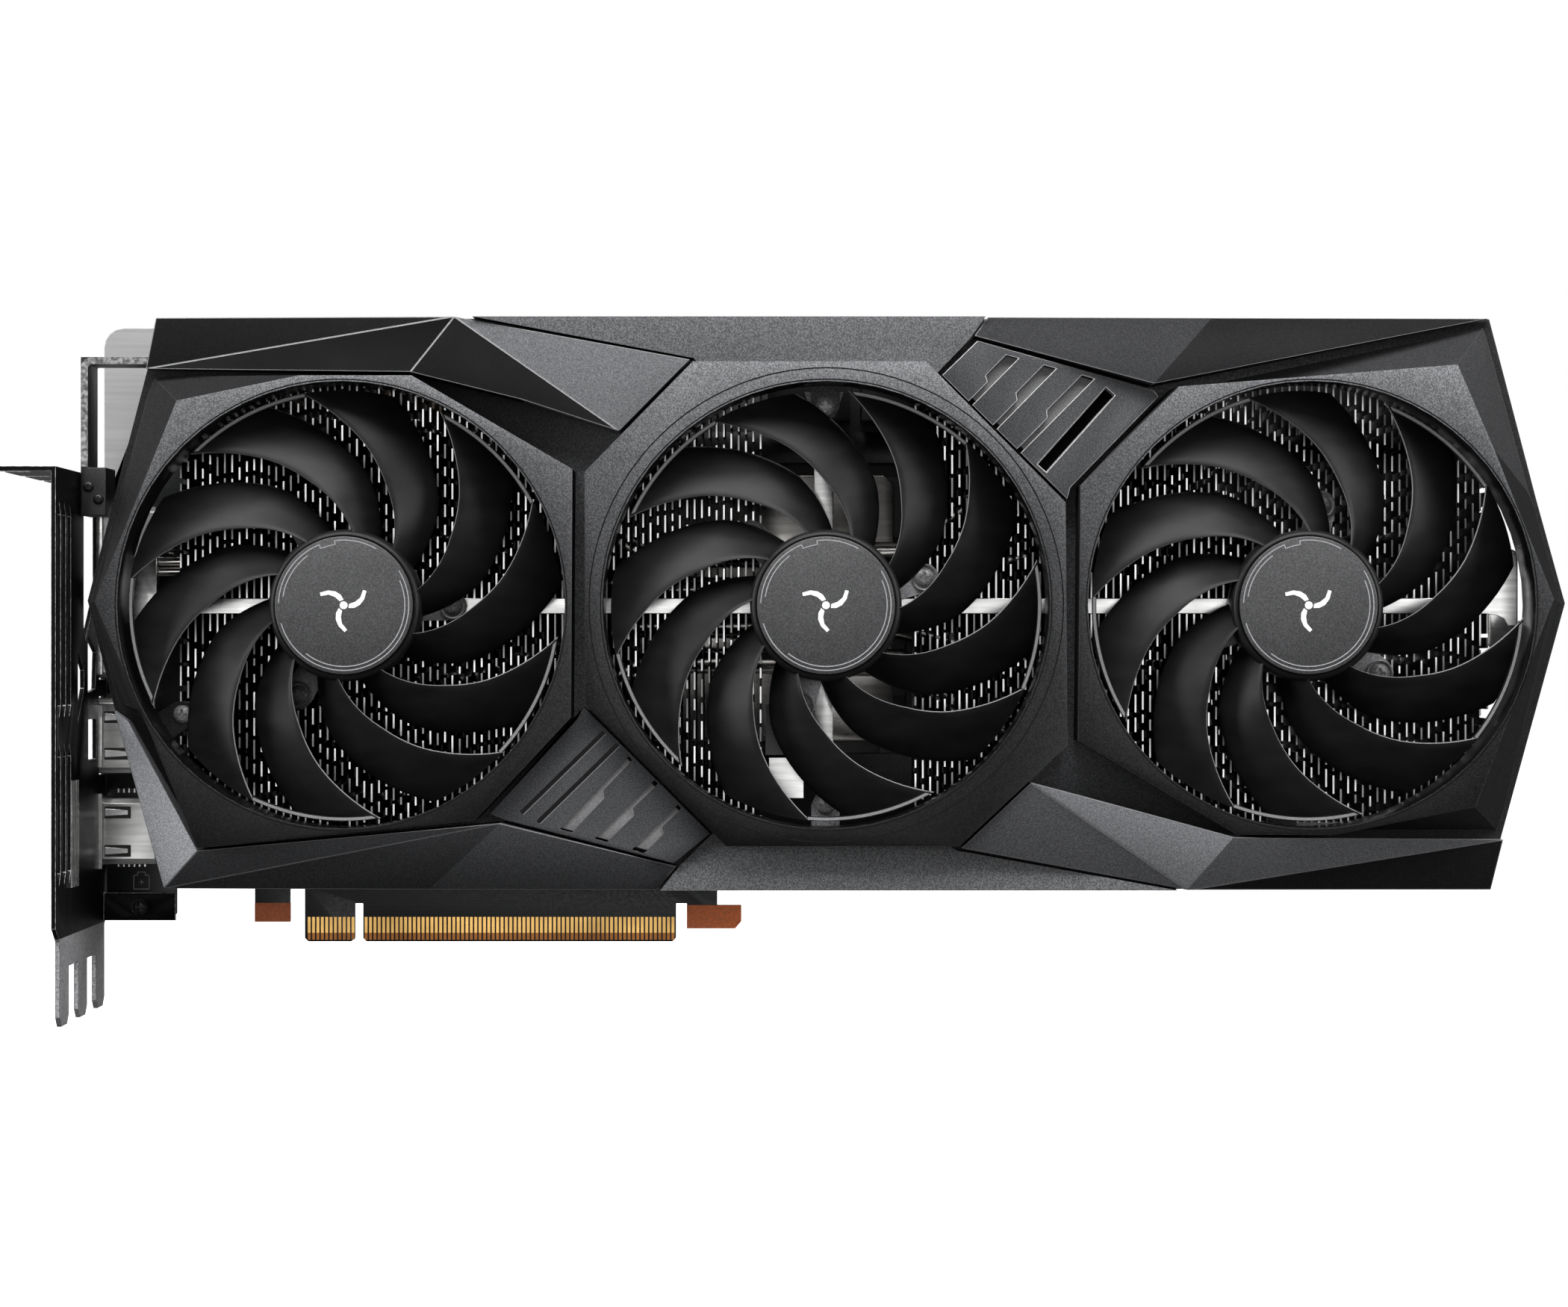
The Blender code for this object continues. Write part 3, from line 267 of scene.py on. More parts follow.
def brushed(name, color, roughness, stretch, contrast=0.2):
    """Brushed or rolled metal, with its streaks along the axis whose stretch is small."""
    material, tree, shader = principled(name, color, roughness, 1.0)
    streaks = noise_node(tree, 900.0, 4.0, stretch)
    stops = ((0.3, shade(color, 1 - contrast)), (0.7, shade(color, 1 + contrast)))
    tree.links.new(ramp_node(tree, streaks.outputs["Fac"], stops), shader.inputs["Base Color"])
    blotches = noise_node(tree, 90.0, 3.0)
    gloss = range_node(tree, blotches.outputs["Fac"], roughness - 0.06, roughness + 0.1)
    tree.links.new(gloss, shader.inputs["Roughness"])
    bump_node(tree, shader, streaks.outputs["Fac"], 0.12, 0.03)
    return material


def dotted_plate(name):
    """Pale anodised sheet, finely brushed, with rows of pricked dots."""
    color = (0.3, 0.3, 0.3)
    material, tree, shader = principled(name, color, 0.5, 0.25)
    streaks = noise_node(tree, 700.0, 4.0, (0.04, 1.0, 1.0))
    stops = ((0.3, shade(color, 0.9)), (0.7, shade(color, 1.1)))
    tint = ramp_node(tree, streaks.outputs["Fac"], stops)
    dots = tree.nodes.new("ShaderNodeTexVoronoi")
    dots.inputs["Scale"].default_value = 430.0
    dots.inputs["Randomness"].default_value = 0.12
    tree.links.new(object_coords(tree), dots.inputs["Vector"])
    prick = range_node(tree, dots.outputs["Distance"], 0.55, 1.0, 0.08, 0.18)
    tree.links.new(multiply_node(tree, tint, prick), shader.inputs["Base Color"])
    fine = noise_node(tree, 1800.0, 2.0)
    tree.links.new(range_node(tree, fine.outputs["Fac"], 0.42, 0.6), shader.inputs["Roughness"])
    bump_node(tree, shader, fine.outputs["Fac"], 0.15, 0.03)
    return material


def fan_gloss(name):
    """Satin-gloss black moulding with faint flow marks."""
    color = (0.009, 0.009, 0.0094)
    material, tree, shader = principled(name, color, 0.36)
    shader.inputs["Specular IOR Level"].default_value = 0.18
    flow = noise_node(tree, 120.0, 4.0, (1.0, 1.0, 2.5))
    stops = ((0.3, shade(color, 0.75)), (0.7, shade(color, 1.5)))
    tree.links.new(ramp_node(tree, flow.outputs["Fac"], stops), shader.inputs["Base Color"])
    dust = noise_node(tree, 2600.0, 2.0)
    tree.links.new(range_node(tree, dust.outputs["Fac"], 0.34, 0.41), shader.inputs["Roughness"])
    bump_node(tree, shader, dust.outputs["Fac"], 0.04, 0.015)
    return material


def solder_mask(name):
    """Black solder mask over faint traces."""
    color = (0.006, 0.0065, 0.007)
    material, tree, shader = principled(name, color, 0.38)
    traces = tree.nodes.new("ShaderNodeTexBrick")
    traces.inputs["Scale"].default_value = 420.0
    traces.inputs["Mortar Size"].default_value = 0.03
    traces.inputs["Color1"].default_value = (*color, 1.0)
    traces.inputs["Color2"].default_value = (*shade(color, 1.6), 1.0)
    traces.inputs["Mortar"].default_value = (*shade(color, 3.2), 1.0)
    turn = tree.nodes.new("ShaderNodeMapping")
    turn.inputs["Rotation"].default_value = (math.radians(90), 0.0, 0.0)
    tree.links.new(object_coords(tree), turn.inputs["Vector"])
    tree.links.new(turn.outputs["Vector"], traces.inputs["Vector"])
    tree.links.new(traces.outputs["Color"], shader.inputs["Base Color"])
    weave = noise_node(tree, 1500.0, 2.0)
    tree.links.new(range_node(tree, weave.outputs["Fac"], 0.3, 0.45), shader.inputs["Roughness"])
    bump_node(tree, shader, traces.outputs["Fac"], 0.15, 0.03)
    return material


def copper_winding(name):
    """Enamelled wire, wound in fine turns."""
    color = (0.55, 0.22, 0.07)
    material, tree, shader = principled(name, color, 0.3, 1.0)
    turns = tree.nodes.new("ShaderNodeTexWave")
    turns.inputs["Scale"].default_value = 900.0
    turns.inputs["Distortion"].default_value = 1.5
    tree.links.new(object_coords(tree), turns.inputs["Vector"])
    stops = ((0.1, shade(color, 0.4)), (0.8, color))
    tree.links.new(ramp_node(tree, turns.outputs["Fac"], stops), shader.inputs["Base Color"])
    bump_node(tree, shader, turns.outputs["Fac"], 0.5, 0.1)
    return material


# Grained materials: colour, roughness, grain in millimetres, contrast, bump, metallic, shine.
GRAINED = {
    "chip": ((0.03, 0.03, 0.032), 0.4, 0.2, 0.2, 0.15),
    "black_steel": ((0.016, 0.016, 0.017), 0.4, 0.35, 0.4, 0.3, 0.3),
    # A painted highlight for the blades' leading edges and the ring links.
    "fan_edge_highlight": ((0.2, 0.2, 0.205), 0.3, 0.3, 0.12, 0.1),
    # A painted highlight for the slotted panels' edges.
    "slot_edge_highlight": ((0.42, 0.42, 0.42), 0.4, 0.3, 0.2, 0.1),
    "bore_plastic": ((0.003, 0.003, 0.0032), 0.3, 0.4, 0.3, 0.15, 0.0, 0.12),
    # Painted shade for the walls of the slotted panels' cuts.
    "slot_recess_shade": ((0.0012, 0.0012, 0.0013), 0.6, 0.4, 0.4, 0.1, 0.0, 0.02),
    # A painted highlight for the edges of the shell and trims, and beside the panel grooves.
    "edge_highlight": ((0.13, 0.13, 0.135), 0.4, 0.3, 0.2, 0.15),
    # A painted highlight for the bracket's and the brace's edges.
    "steel_edge_highlight": ((0.2, 0.2, 0.2), 0.35, 0.9, 0.6, 0.4, 0.4),
    "cap_label": ((0.042, 0.0425, 0.044), 0.42, 0.34, 0.4, 0.4),
    "magnet": ((0.05, 0.05, 0.05), 0.6, 0.4, 0.3, 0.3, 0.4),
    "socket_plastic": ((0.012, 0.012, 0.012), 0.4, 0.25, 0.3, 0.2),
    "bare_board": ((0.7, 0.16, 0.035), 0.45, 0.5, 0.12, 0.1),
    "print_white": ((0.8, 0.8, 0.8), 0.4, 0.3, 0.06, 0.05),
    "print_grey": ((0.3, 0.3, 0.31), 0.35, 0.3, 0.1, 0.05),
    "capacitor": ((0.14, 0.1, 0.07), 0.4, 0.2, 0.15, 0.05),
}

# The same for the materials whose colour follows the mesh's tone, which paints light and shade into most of
# them and makes the bracket's tails grey.
TONED = {
    "bracket_steel": ((0.003, 0.003, 0.0031), 0.4, 0.5, 0.3, 0.25, 0.2, 0.08),
    "shroud_plastic": ((0.036, 0.0365, 0.038), 0.5, 0.3, 0.42, 0.5, 0.0, 0.12),
    "trim_plastic": ((0.03, 0.0305, 0.032), 0.5, 0.28, 0.3, 0.3, 0.0, 0.05),
    "diffuser": ((0.17, 0.17, 0.174), 0.4, 0.4, 0.15, 0.1),
    "base_plastic": ((0.09, 0.09, 0.093), 0.42, 0.3, 0.3, 0.25),
    "screw_steel": ((0.085, 0.085, 0.085), 0.42, 0.4, 0.35, 0.2, 0.25, 0.3),
}

# Brushed metals: colour, roughness, stretch of the streaks, contrast.
BRUSHED = {
    "socket_shell": ((0.7, 0.7, 0.69), 0.38, (0.08, 1.0, 1.0)),
    "bright_steel": ((0.78, 0.78, 0.77), 0.26, (0.08, 1.0, 1.0)),
    "aluminium": ((0.84, 0.84, 0.83), 0.3, (1.0, 1.0, 0.1)),
    "fin_edge_dim": ((0.32, 0.32, 0.315), 0.36, (1.0, 1.0, 0.1)),
    # Painted shade for the fins' sides, backs and notches, which are the same aluminium as their fronts.
    "fin_shade": ((0.045, 0.045, 0.045), 0.45, (1.0, 0.1, 1.0)),
    "nickel_copper": ((0.72, 0.7, 0.67), 0.22, (0.1, 1.0, 1.0)),
    "worn_gold": ((0.42, 0.17, 0.05), 0.36, (1.0, 1.0, 0.1), 0.15),
    "gold": ((0.83, 0.5, 0.16), 0.28, (1.0, 1.0, 0.1), 0.12),
}


def make_materials():
    """Return every material by name; the record's slots are among them."""
    makers = {
        "board": solder_mask,
        "brushed_plate": dotted_plate,
        "fan_plastic": fan_gloss,
        "winding": copper_winding,
    }
    materials = {name: make(name) for name, make in makers.items()}
    materials |= {name: grained(name, *row) for name, row in GRAINED.items()}
    materials |= {name: grained(name, *row, follows_tone=True) for name, row in TONED.items()}
    materials |= {name: brushed(name, *row) for name, row in BRUSHED.items()}
    return materials


# ---------------------------------------------------------------- mesh work

def finish_piece(name, builder, materials, body, slot, smooth_angle=None):
    """Turn a bmesh into a piece of the named materials that rides on a body."""
    bmesh.ops.recalc_face_normals(builder, faces=builder.faces)
    mesh = bpy.data.meshes.new(name)
    builder.to_mesh(mesh)
    builder.free()
    for material in materials:
        mesh.materials.append(MATERIALS[material])
    if smooth_angle is not None:
        mesh.shade_smooth()
        mesh.set_sharp_from_angle(angle=math.radians(smooth_angle))
    item = bpy.data.objects.new(name, mesh)
    bpy.context.scene.collection.objects.link(item)
    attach(item, body)
    return item


def add_bevel(item, width, angle=16.0, segments=2):
    """Round a piece's edges, keeping its flat faces flat."""
    item.data.shade_smooth()
    modifier = item.modifiers.new("edges", "BEVEL")
    modifier.width = width * MM
    modifier.segments = segments
    modifier.limit_method = "ANGLE"
    modifier.angle_limit = math.radians(angle)
    modifier.harden_normals = True
    modifier.use_clamp_overlap = True


def add_prism(builder, outline, low, high, top_outline=None, material=0):
    """Add a solid between two heights over an outline of (x, z) points."""
    top_outline = outline if top_outline is None else top_outline
    lower = [builder.verts.new(place(x, z, low)) for x, z in outline]
    upper = [builder.verts.new(place(x, z, high)) for x, z in top_outline]
    faces = [builder.faces.new(lower), builder.faces.new(upper)]
    for i in range(len(outline)):
        j = (i + 1) % len(outline)
        faces.append(builder.faces.new((lower[i], lower[j], upper[j], upper[i])))
    for face in faces:
        face.material_index = material
    return faces


def add_box(builder, left, right, bottom, top, low, high, material=0):
    """Add a box to a bmesh."""
    outline = [(left, bottom), (right, bottom), (right, top), (left, top)]
    add_prism(builder, outline, low, high, None, material)


def circle(centre, radius, sides):
    """Return a circle's outline."""
    return [polar(centre, radius, 360.0 * i / sides) for i in range(sides)]


def add_turned(builder, centre, profile, sides=48, material=0, closed=False):
    """Add a solid turned about a front-to-back axis from (radius, height) points."""
    rings = []
    for radius, height in profile:
        if radius == 0.0:
            rings.append([builder.verts.new(place(*centre, height))] * sides)
        else:
            rings.append([builder.verts.new(place(x, z, height)) for x, z in circle(centre, radius, sides)])
    pairs = list(zip(rings, rings[1:]))
    if closed:
        pairs.append((rings[-1], rings[0]))
    for first, second in pairs:
        for i in range(sides):
            j = (i + 1) % sides
            corners = list(dict.fromkeys((first[i], first[j], second[j], second[i])))
            builder.faces.new(corners).material_index = material


def add_arc(builder, centre, inner, outer, start, end, low, high, steps=24, material=0):
    """Add a thin arc between two radii."""
    angles = [start + (end - start) * i / steps for i in range(steps + 1)]
    outline = [polar(centre, outer, a) for a in angles] + [polar(centre, inner, a) for a in reversed(angles)]
    add_prism(builder, outline, low, high, None, material)


def refine(node, width, angle=16.0, segments=2, extra=(), edge=None):
    """Stand a bevelled copy in for a CAD node, and return it.

    extra names further materials, and edge is the one of them that the bevels take.
    """
    builder = bmesh.new()
    builder.from_mesh(NODES[node].data)
    bmesh.ops.remove_doubles(builder, verts=builder.verts, dist=1e-6)
    bmesh.ops.dissolve_limit(
        builder, angle_limit=math.radians(0.4), verts=builder.verts, edges=builder.edges
    )
    slot = SLOT_OF[node]
    item = finish_piece(f"{node}_fine", builder, (slot, *extra), BODY_OF[node], slot)
    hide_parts(node)
    add_bevel(item, width, angle, segments)
    if edge is not None:
        item.modifiers["edges"].material = 1 + extra.index(edge)
    return item


def paint_tones(item, rule):
    """Give each face corner the tone that a rule finds from the face and the corner's place."""
    mesh = item.data
    attribute = mesh.attributes.new("tone", "FLOAT", "CORNER")
    for polygon in mesh.polygons:
        for loop in polygon.loop_indices:
            corner = mesh.vertices[mesh.loops[loop].vertex_index].co
            attribute.data[loop].value = rule(polygon, corner.x / MM, corner.z / MM)


def nearest_mark(marks):
    """Return a rule that takes the tone of the (x, z, tone) mark nearest to a face's middle."""
    def rule(polygon, x, z):
        middle = polygon.center / MM
        return min(marks, key=lambda mark: (mark[0] - middle.x) ** 2 + (mark[1] - middle.z) ** 2)[2]
    return rule


def even_tone(tone):
    """Return a rule that gives every face the same tone."""
    return lambda polygon, x, z: tone


def add_tube(builder, points, radius, sides):
    """Add a round wire or pipe through world points."""
    rings = []
    for i, point in enumerate(points):
        along = (points[min(i + 1, len(points) - 1)] - points[max(i - 1, 0)]).normalized()
        side = along.orthogonal().normalized() if i == 0 else (side - along * side.dot(along)).normalized()
        other = along.cross(side)
        rings.append([
            builder.verts.new(point + (side * math.cos(t) + other * math.sin(t)) * radius * MM)
            for t in (2 * math.pi * j / sides for j in range(sides))
        ])
    for first, second in zip(rings, rings[1:]):
        for j in range(sides):
            k = (j + 1) % sides
            builder.faces.new((first[j], first[k], second[k], second[j]))
    for cap in (rings[0], rings[-1]):
        builder.faces.new(cap)


# ---------------------------------------------------------------- fans

def blade_section(share, thick):
    """Return a half thickness along the chord: round at both edges, thinner behind."""
    edge = 0.045
    body = thick * (1.0 - 0.4 * share)
    if share < edge:
        return body * math.sqrt(max(1 - (1 - share / edge) ** 2, 0.0))
    if share > 1 - edge:
        return body * math.sqrt(max(1 - ((share - 1 + edge) / edge) ** 2, 0.0))
    return body


def add_blade(builder, centre, tip_angle, low, high):
    """Add one swept blade: its leading edge stands forward, and the rest dips behind it."""
    stations, half = 22, 12
    thick = BLADE_HALF_THICKNESS
    root, tip = BLADE_LEADING[0][0], BLADE_LEADING[-1][0]
    shares = [0.5 - 0.5 * math.cos(math.pi * i / half) for i in range(half + 1)]
    rows = []
    for i in range(stations + 1):
        radius = root + (tip - root) * i / stations
        lead = tip_angle + between(BLADE_LEADING, radius)
        trail = tip_angle + between(BLADE_TRAILING, radius)
        row = []
        for side in (1.0, -1.0):
            order = shares if side > 0 else shares[-2:0:-1]
            for share in order:
                dip = (high - low - 2 * thick) * (0.75 * share + 0.25 * share ** 2)
                middle = high - thick - dip
                x, z = polar(centre, radius, lead + (trail - lead) * share)
                row.append(builder.verts.new(place(x, z, middle + side * blade_section(share, thick))))
        rows.append(row)
    count = len(rows[0])
    for first, second in zip(rows, rows[1:]):
        for j in range(count):
            k = (j + 1) % count
            face = builder.faces.new((first[j], first[k], second[k], second[j]))
            # The strip along the leading edge's front takes a painted highlight.
            face.material_index = 1 if j == 0 else 0
    builder.faces.new(rows[0])
    builder.faces.new(rows[-1])


def build_impeller(side):
    """Make a fan's turning part: hub cup, five linked pairs of blades."""
    node = f"impeller_{side}"
    centre = fan_centre(side)
    low, high = span(node)[4:]
    builder = bmesh.new()
    hub = (
        (0.0, high - 0.2), (14.9, high - 0.2), (15.25, high + 0.05), (15.6, high - 0.05), (16.1, high - 0.45),
        (16.4, high - 1.1), (16.4, low), (15.2, low), (15.2, high - 1.4), (0.0, high - 1.4),
    )
    add_turned(builder, centre, hub, 96)
    for pair in range(BLADE_PAIRS):
        lead = TIP_ANGLE[side] + 360.0 / BLADE_PAIRS * pair
        follower = lead - PAIR_OFFSET
        add_blade(builder, centre, lead, low + 0.4, high)
        add_blade(builder, centre, follower, low + 0.4, high)
        add_arc(builder, centre, 45.7, 46.6, follower - 0.5, lead - 0.6, high - 1.5, high - 0.35, 16)
        # The link's top strip takes a painted highlight.
        add_arc(builder, centre, 45.85, 46.45, follower - 0.3, lead - 0.8, high - 0.4, high - 0.3, 16, 1)
    item = finish_piece(f"{node}_fine", builder, ("fan_plastic", "fan_edge_highlight"), f"fan_{side}", "fan_plastic", 42)
    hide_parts(node)


def petal_outline(centre, turn):
    """Return one petal of the plain pinwheel mark."""
    forward = [polar(centre, 1.2 + 4.6 * s, turn + 62.0 * s) for s in (0.0, 0.25, 0.5, 0.75, 1.0)]
    back = [polar(centre, 1.2 + 4.6 * s, turn + 44.0 + 30.0 * s ** 2) for s in (0.9, 0.6, 0.3, 0.0)]
    return forward + back


def build_hub_cap(side):
    """Make a hub's grained label with thin arcs and a plain pinwheel mark."""
    node = f"hub_cap_{side}"
    centre = fan_centre(side)
    low, high = span(node)[4:]
    builder = bmesh.new()
    face = high - 0.1
    disc = ((0.0, face), (14.6, face), (14.85, face - 0.12), (14.85, low), (0.0, low))
    add_turned(builder, centre, disc, 96)
    inked = face - 0.05, high - 0.04
    arcs = (
        (14.05, 196.0, 392.0), (13.2, 232.0, 384.0), (14.05, 60.0, 98.0), (14.05, 112.0, 178.0),
        (13.2, 126.0, 172.0),
    )
    for radius, start, end in arcs:
        add_arc(builder, centre, radius - 0.11, radius + 0.11, start, end, *inked, 40, 1)
    spoke = ((13.1, -0.5), (14.15, -0.5), (14.15, 0.5), (13.1, 0.5))
    for angle in (98.0, 112.0):
        outline = [polar(centre, radius, angle + turn) for radius, turn in spoke]
        add_prism(builder, outline, *inked, None, 1)
    add_arc(builder, centre, 13.1, 13.3, 98.0, 112.0, *inked, 6, 1)
    for petal in range(3):
        add_prism(builder, petal_outline(centre, 90.0 + 120.0 * petal), face - 0.05, high, None, 2)
    add_prism(builder, circle(centre, 0.85, 24), face - 0.05, high, None, 2)
    materials = ("cap_label", "print_grey", "print_white")
    item = finish_piece(f"{node}_fine", builder, materials, f"fan_{side}", "cap_label", 30)
    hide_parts(node)


def subtract(item, cutter_builder):
    """Cut a closed bmesh out of a piece."""
    bmesh.ops.recalc_face_normals(cutter_builder, faces=cutter_builder.faces)
    mesh = bpy.data.meshes.new("cutter")
    cutter_builder.to_mesh(mesh)
    cutter_builder.free()
    cutter = bpy.data.objects.new("cutter", mesh)
    bpy.context.scene.collection.objects.link(cutter)
    modifier = item.modifiers.new("recess", "BOOLEAN")
    modifier.operation = "DIFFERENCE"
    modifier.object = cutter
    result = bpy.data.meshes.new_from_object(item.evaluated_get(bpy.context.evaluated_depsgraph_get()))
    item.modifiers.clear()
    item.data = result
    bpy.data.objects.remove(cutter)


def cross_screw(name, spot, low, radius, height, material, slot):
    """Make a domed cross-head screw that faces the front."""
    builder = bmesh.new()
    angles = [math.radians(degrees) for degrees in (28, 50, 70, 84)]
    dome = [(radius * math.sin(a), low + height * math.cos(a)) for a in angles]
    profile = [(0.0, low + height * 0.93)] + dome + [(radius, low), (0.0, low)]
    add_turned(builder, spot, profile, 32)
    item = finish_piece(name, builder, (material,), "card", slot)
    arm, half = radius * 0.56, radius * 0.14
    x, z = spot
    cross = [
        (x - arm, z - half), (x - half, z - half), (x - half, z - arm), (x + half, z - arm),
        (x + half, z - half), (x + arm, z - half), (x + arm, z + half), (x + half, z + half),
        (x + half, z + arm), (x - half, z + arm), (x - half, z + half), (x - arm, z + half),
    ]
    cutter_mesh = bmesh.new()
    add_prism(cutter_mesh, cross, low + height * 0.35, low + height * 1.5)
    subtract(item, cutter_mesh)
    item.data.shade_smooth()
    item.data.set_sharp_from_angle(angle=math.radians(40))
    return item


def toned_screw(name, spot, low, radius, height, tone):
    """Make a steel cross-head screw in one tone of painted light, and return it."""
    screw = cross_screw(name, spot, low, radius, height, "screw_steel", "bright_steel")
    paint_tones(screw, even_tone(tone))
    return screw


def build_fan(side):
    """Make one fan's visible pieces."""
    build_impeller(side)
    build_hub_cap(side)
    # The fan's tone of painted light, for its base, ear screws and rims.
    tone = EAR_PAINTED_LIGHT[side]
    base = refine(f"motor_base_{side}", 0.25)
    base.data.materials[0] = MATERIALS["base_plastic"]
    paint_tones(base, even_tone(tone))
    top = span(f"motor_base_{side}")[4] + 0.8
    rims = bmesh.new()
    for ear in range(EARS):
        spot = polar(fan_centre(side), EAR_RADIUS, EAR_ANGLE[side] + 360.0 / EARS * ear)
        toned_screw(f"ear_screw_{side}_{ear + 1}", spot, top, 2.2, 1.2, tone)
        rim = ((2.45, top - 0.2), (3.1, top - 0.2), (3.0, top + 0.5), (2.75, top + 0.65), (2.5, top + 0.5))
        add_turned(rims, spot, rim, 32, 0, True)
    rim_item = finish_piece(f"ear_rims_{side}", rims, ("base_plastic",), "card", "fan_plastic", 40)
    paint_tones(rim_item, even_tone(tone + EAR_RIM_TONE_STEP))


# ---------------------------------------------------------------- shroud

# Tones as (x, z, tone) marks: a face takes the tone of the mark nearest to its middle. The tones are light
# and shade, painted facet by facet on trims and shell slopes of one finish.
TRIM_PAINTED_LIGHT = {
    "trim_top_left": ((-50.0, 136.0, -2.2), (-45.0, 129.0, -3.4), (0.0, 130.0, -3.4), (25.0, 127.0, 1.8)),
    "trim_top_right": ((125.0, 133.0, -0.1), (170.0, 133.0, -1.6)),
    "trim_bottom_right": ((115.0, 24.0, 0.9), (140.0, 27.0, 3.0), (170.0, 22.0, 2.2), (214.0, 20.0, -2.2)),
    "trim_bottom_left": ((-78.0, 35.0, 3.3), (-48.0, 22.0, 0.9), (-30.0, 17.0, 0.0), (12.0, 20.0, 0.7)),
}
SHELL_SLOPE_PAINTED_LIGHT = (
    (-82.0, 108.0, -1.2), (-86.0, 66.0, -1.2), (-74.0, 38.0, -1.6), (-40.0, 26.0, -2.4), (60.0, 130.0, -0.6),
    (60.0, 22.0, -3.4), (218.0, 112.0, -0.3), (222.0, 60.0, -1.4), (190.0, 26.0, -0.6),
    (20.0, 112.0, -3.5), (224.0, 85.0, -1.8),
)

# Tones of the shell's flat front faces: its frames, and the lower faces between and beside them. They are
# painted light and shade: the frames are painted darker downwards, and the lower faces lighter or darker by
# place.
FRAME_TONE = -0.3
FRAME_PAINTED_LIGHT_PER_MM = 2.3 / 50.0
FRAME_TONE_Z = 75.0
LOW_FACE_HEIGHT = 46.0
LOW_FACE_LEFT = -10.0
LOW_FACE_RIGHT = 150.0
LOW_FACE_PAINTED_LIGHT = {"side": -1.4, "above": 1.5, "below": 1.6}


def shell_painted_light(polygon, x, z):
    """Return a shell tone of painted light and shade: fronts are painted darker downwards, slopes by place,
    and the bores stay black.
    """
    if polygon.material_index == 1:
        return 0.0
    if polygon.normal.y >= -0.97:
        return nearest_mark(SHELL_SLOPE_PAINTED_LIGHT)(polygon, x, z)
    if polygon.center.y <= place(0.0, 0.0, LOW_FACE_HEIGHT).y:
        return FRAME_TONE + FRAME_PAINTED_LIGHT_PER_MM * (z - FRAME_TONE_Z)
    if not LOW_FACE_LEFT < x < LOW_FACE_RIGHT:
        return LOW_FACE_PAINTED_LIGHT["side"]
    return LOW_FACE_PAINTED_LIGHT["above" if z > FRAME_TONE_Z else "below"]


def mark_bores(item):
    """Give the walls of the three fan openings their glossy plastic."""
    centres = [Vector(fan_centre(side)) for side in SIDES]
    for polygon in item.data.polygons:
        middle = Vector((polygon.center.x, polygon.center.z)) / MM
        near = min((middle - centre).length for centre in centres)
        if near < BORE_RADIUS + 0.4 and abs(polygon.normal.y) < 0.3:
            polygon.material_index = 1


def build_shroud():
    """Make the shroud's shell, trims, slotted panels and light guides."""
    # The bevels of the shell and trims take a painted highlight; their faces take tones of painted light and
    # shade.
    shell = refine("shroud_shell", 0.3, extra=("bore_plastic", "edge_highlight"), edge="edge_highlight")
    mark_bores(shell)
    paint_tones(shell, shell_painted_light)
    for node, marks in TRIM_PAINTED_LIGHT.items():
        trim = refine(node, 0.2, 4.0, extra=("edge_highlight",), edge="edge_highlight")
        paint_tones(trim, nearest_mark(marks))
    # The panels and their light guides take tones of painted light, the upper ones lit more than the lower.
    build_slot_panel("upper", 1.1, 2.1, 0.6)
    build_slot_panel("lower", 0.8, 0.6, 0.0)
    build_panel_lines()
    build_rim_line()


def build_slot_panel(name, tone, guide_depth, guide_tone):
    """Refine a slotted panel with a painted highlight on its edges and painted shade in its cuts, and bring
    its light guide up into the slots.
    """
    node = f"slot_panel_{name}"
    panel = refine(node, 0.16, extra=("slot_edge_highlight", "slot_recess_shade"), edge="slot_edge_highlight")
    high = span(node)[5]
    # Faces sunk into the cuts take painted shade.
    for polygon in panel.data.polygons:
        depth = high - (BOARD_FACE_Y - polygon.center.y) / MM
        if depth > 0.1:
            polygon.material_index = 2
    paint_tones(panel, even_tone(tone))
    guide = refine(f"light_diffuser_{name}", 0.2)
    top = max(-vertex.co.y for vertex in guide.data.vertices)
    for vertex in guide.data.vertices:
        if -vertex.co.y > top - 1e-5:
            vertex.co.y = place(0.0, 0.0, high - guide_depth).y
    paint_tones(guide, even_tone(guide_tone))


def strip(start, end, width):
    """Return the outline of a straight strip between two (x, z) points."""
    start, end = Vector(start), Vector(end)
    across = (end - start).normalized() * width / 2
    across = Vector((-across.y, across.x))
    return [tuple(p) for p in (start + across, end + across, end - across, start - across)]


def build_panel_lines():
    """Lay the lower panel's two plain grooves: dark strips, each with a thin painted highlight along one
    edge.
    """
    builder = bmesh.new()
    top = span("slot_panel_lower")[5]
    width = 0.9
    for start, end in (((3.8, 31.4), (21.6, 48.8)), ((7.4, 29.4), (24.6, 46.2))):
        add_prism(builder, strip(start, end, width), top - 0.3, top + 0.03)
        shift = Vector((width / 2 + 0.14, -width / 2 - 0.14)) * 0.7
        light = strip(Vector(start) + shift, Vector(end) + shift, 0.22)
        add_prism(builder, light, top - 0.3, top + 0.05, None, 1)
    finish_piece("panel_grooves", builder, ("bore_plastic", "edge_highlight"), "card", "trim_plastic")


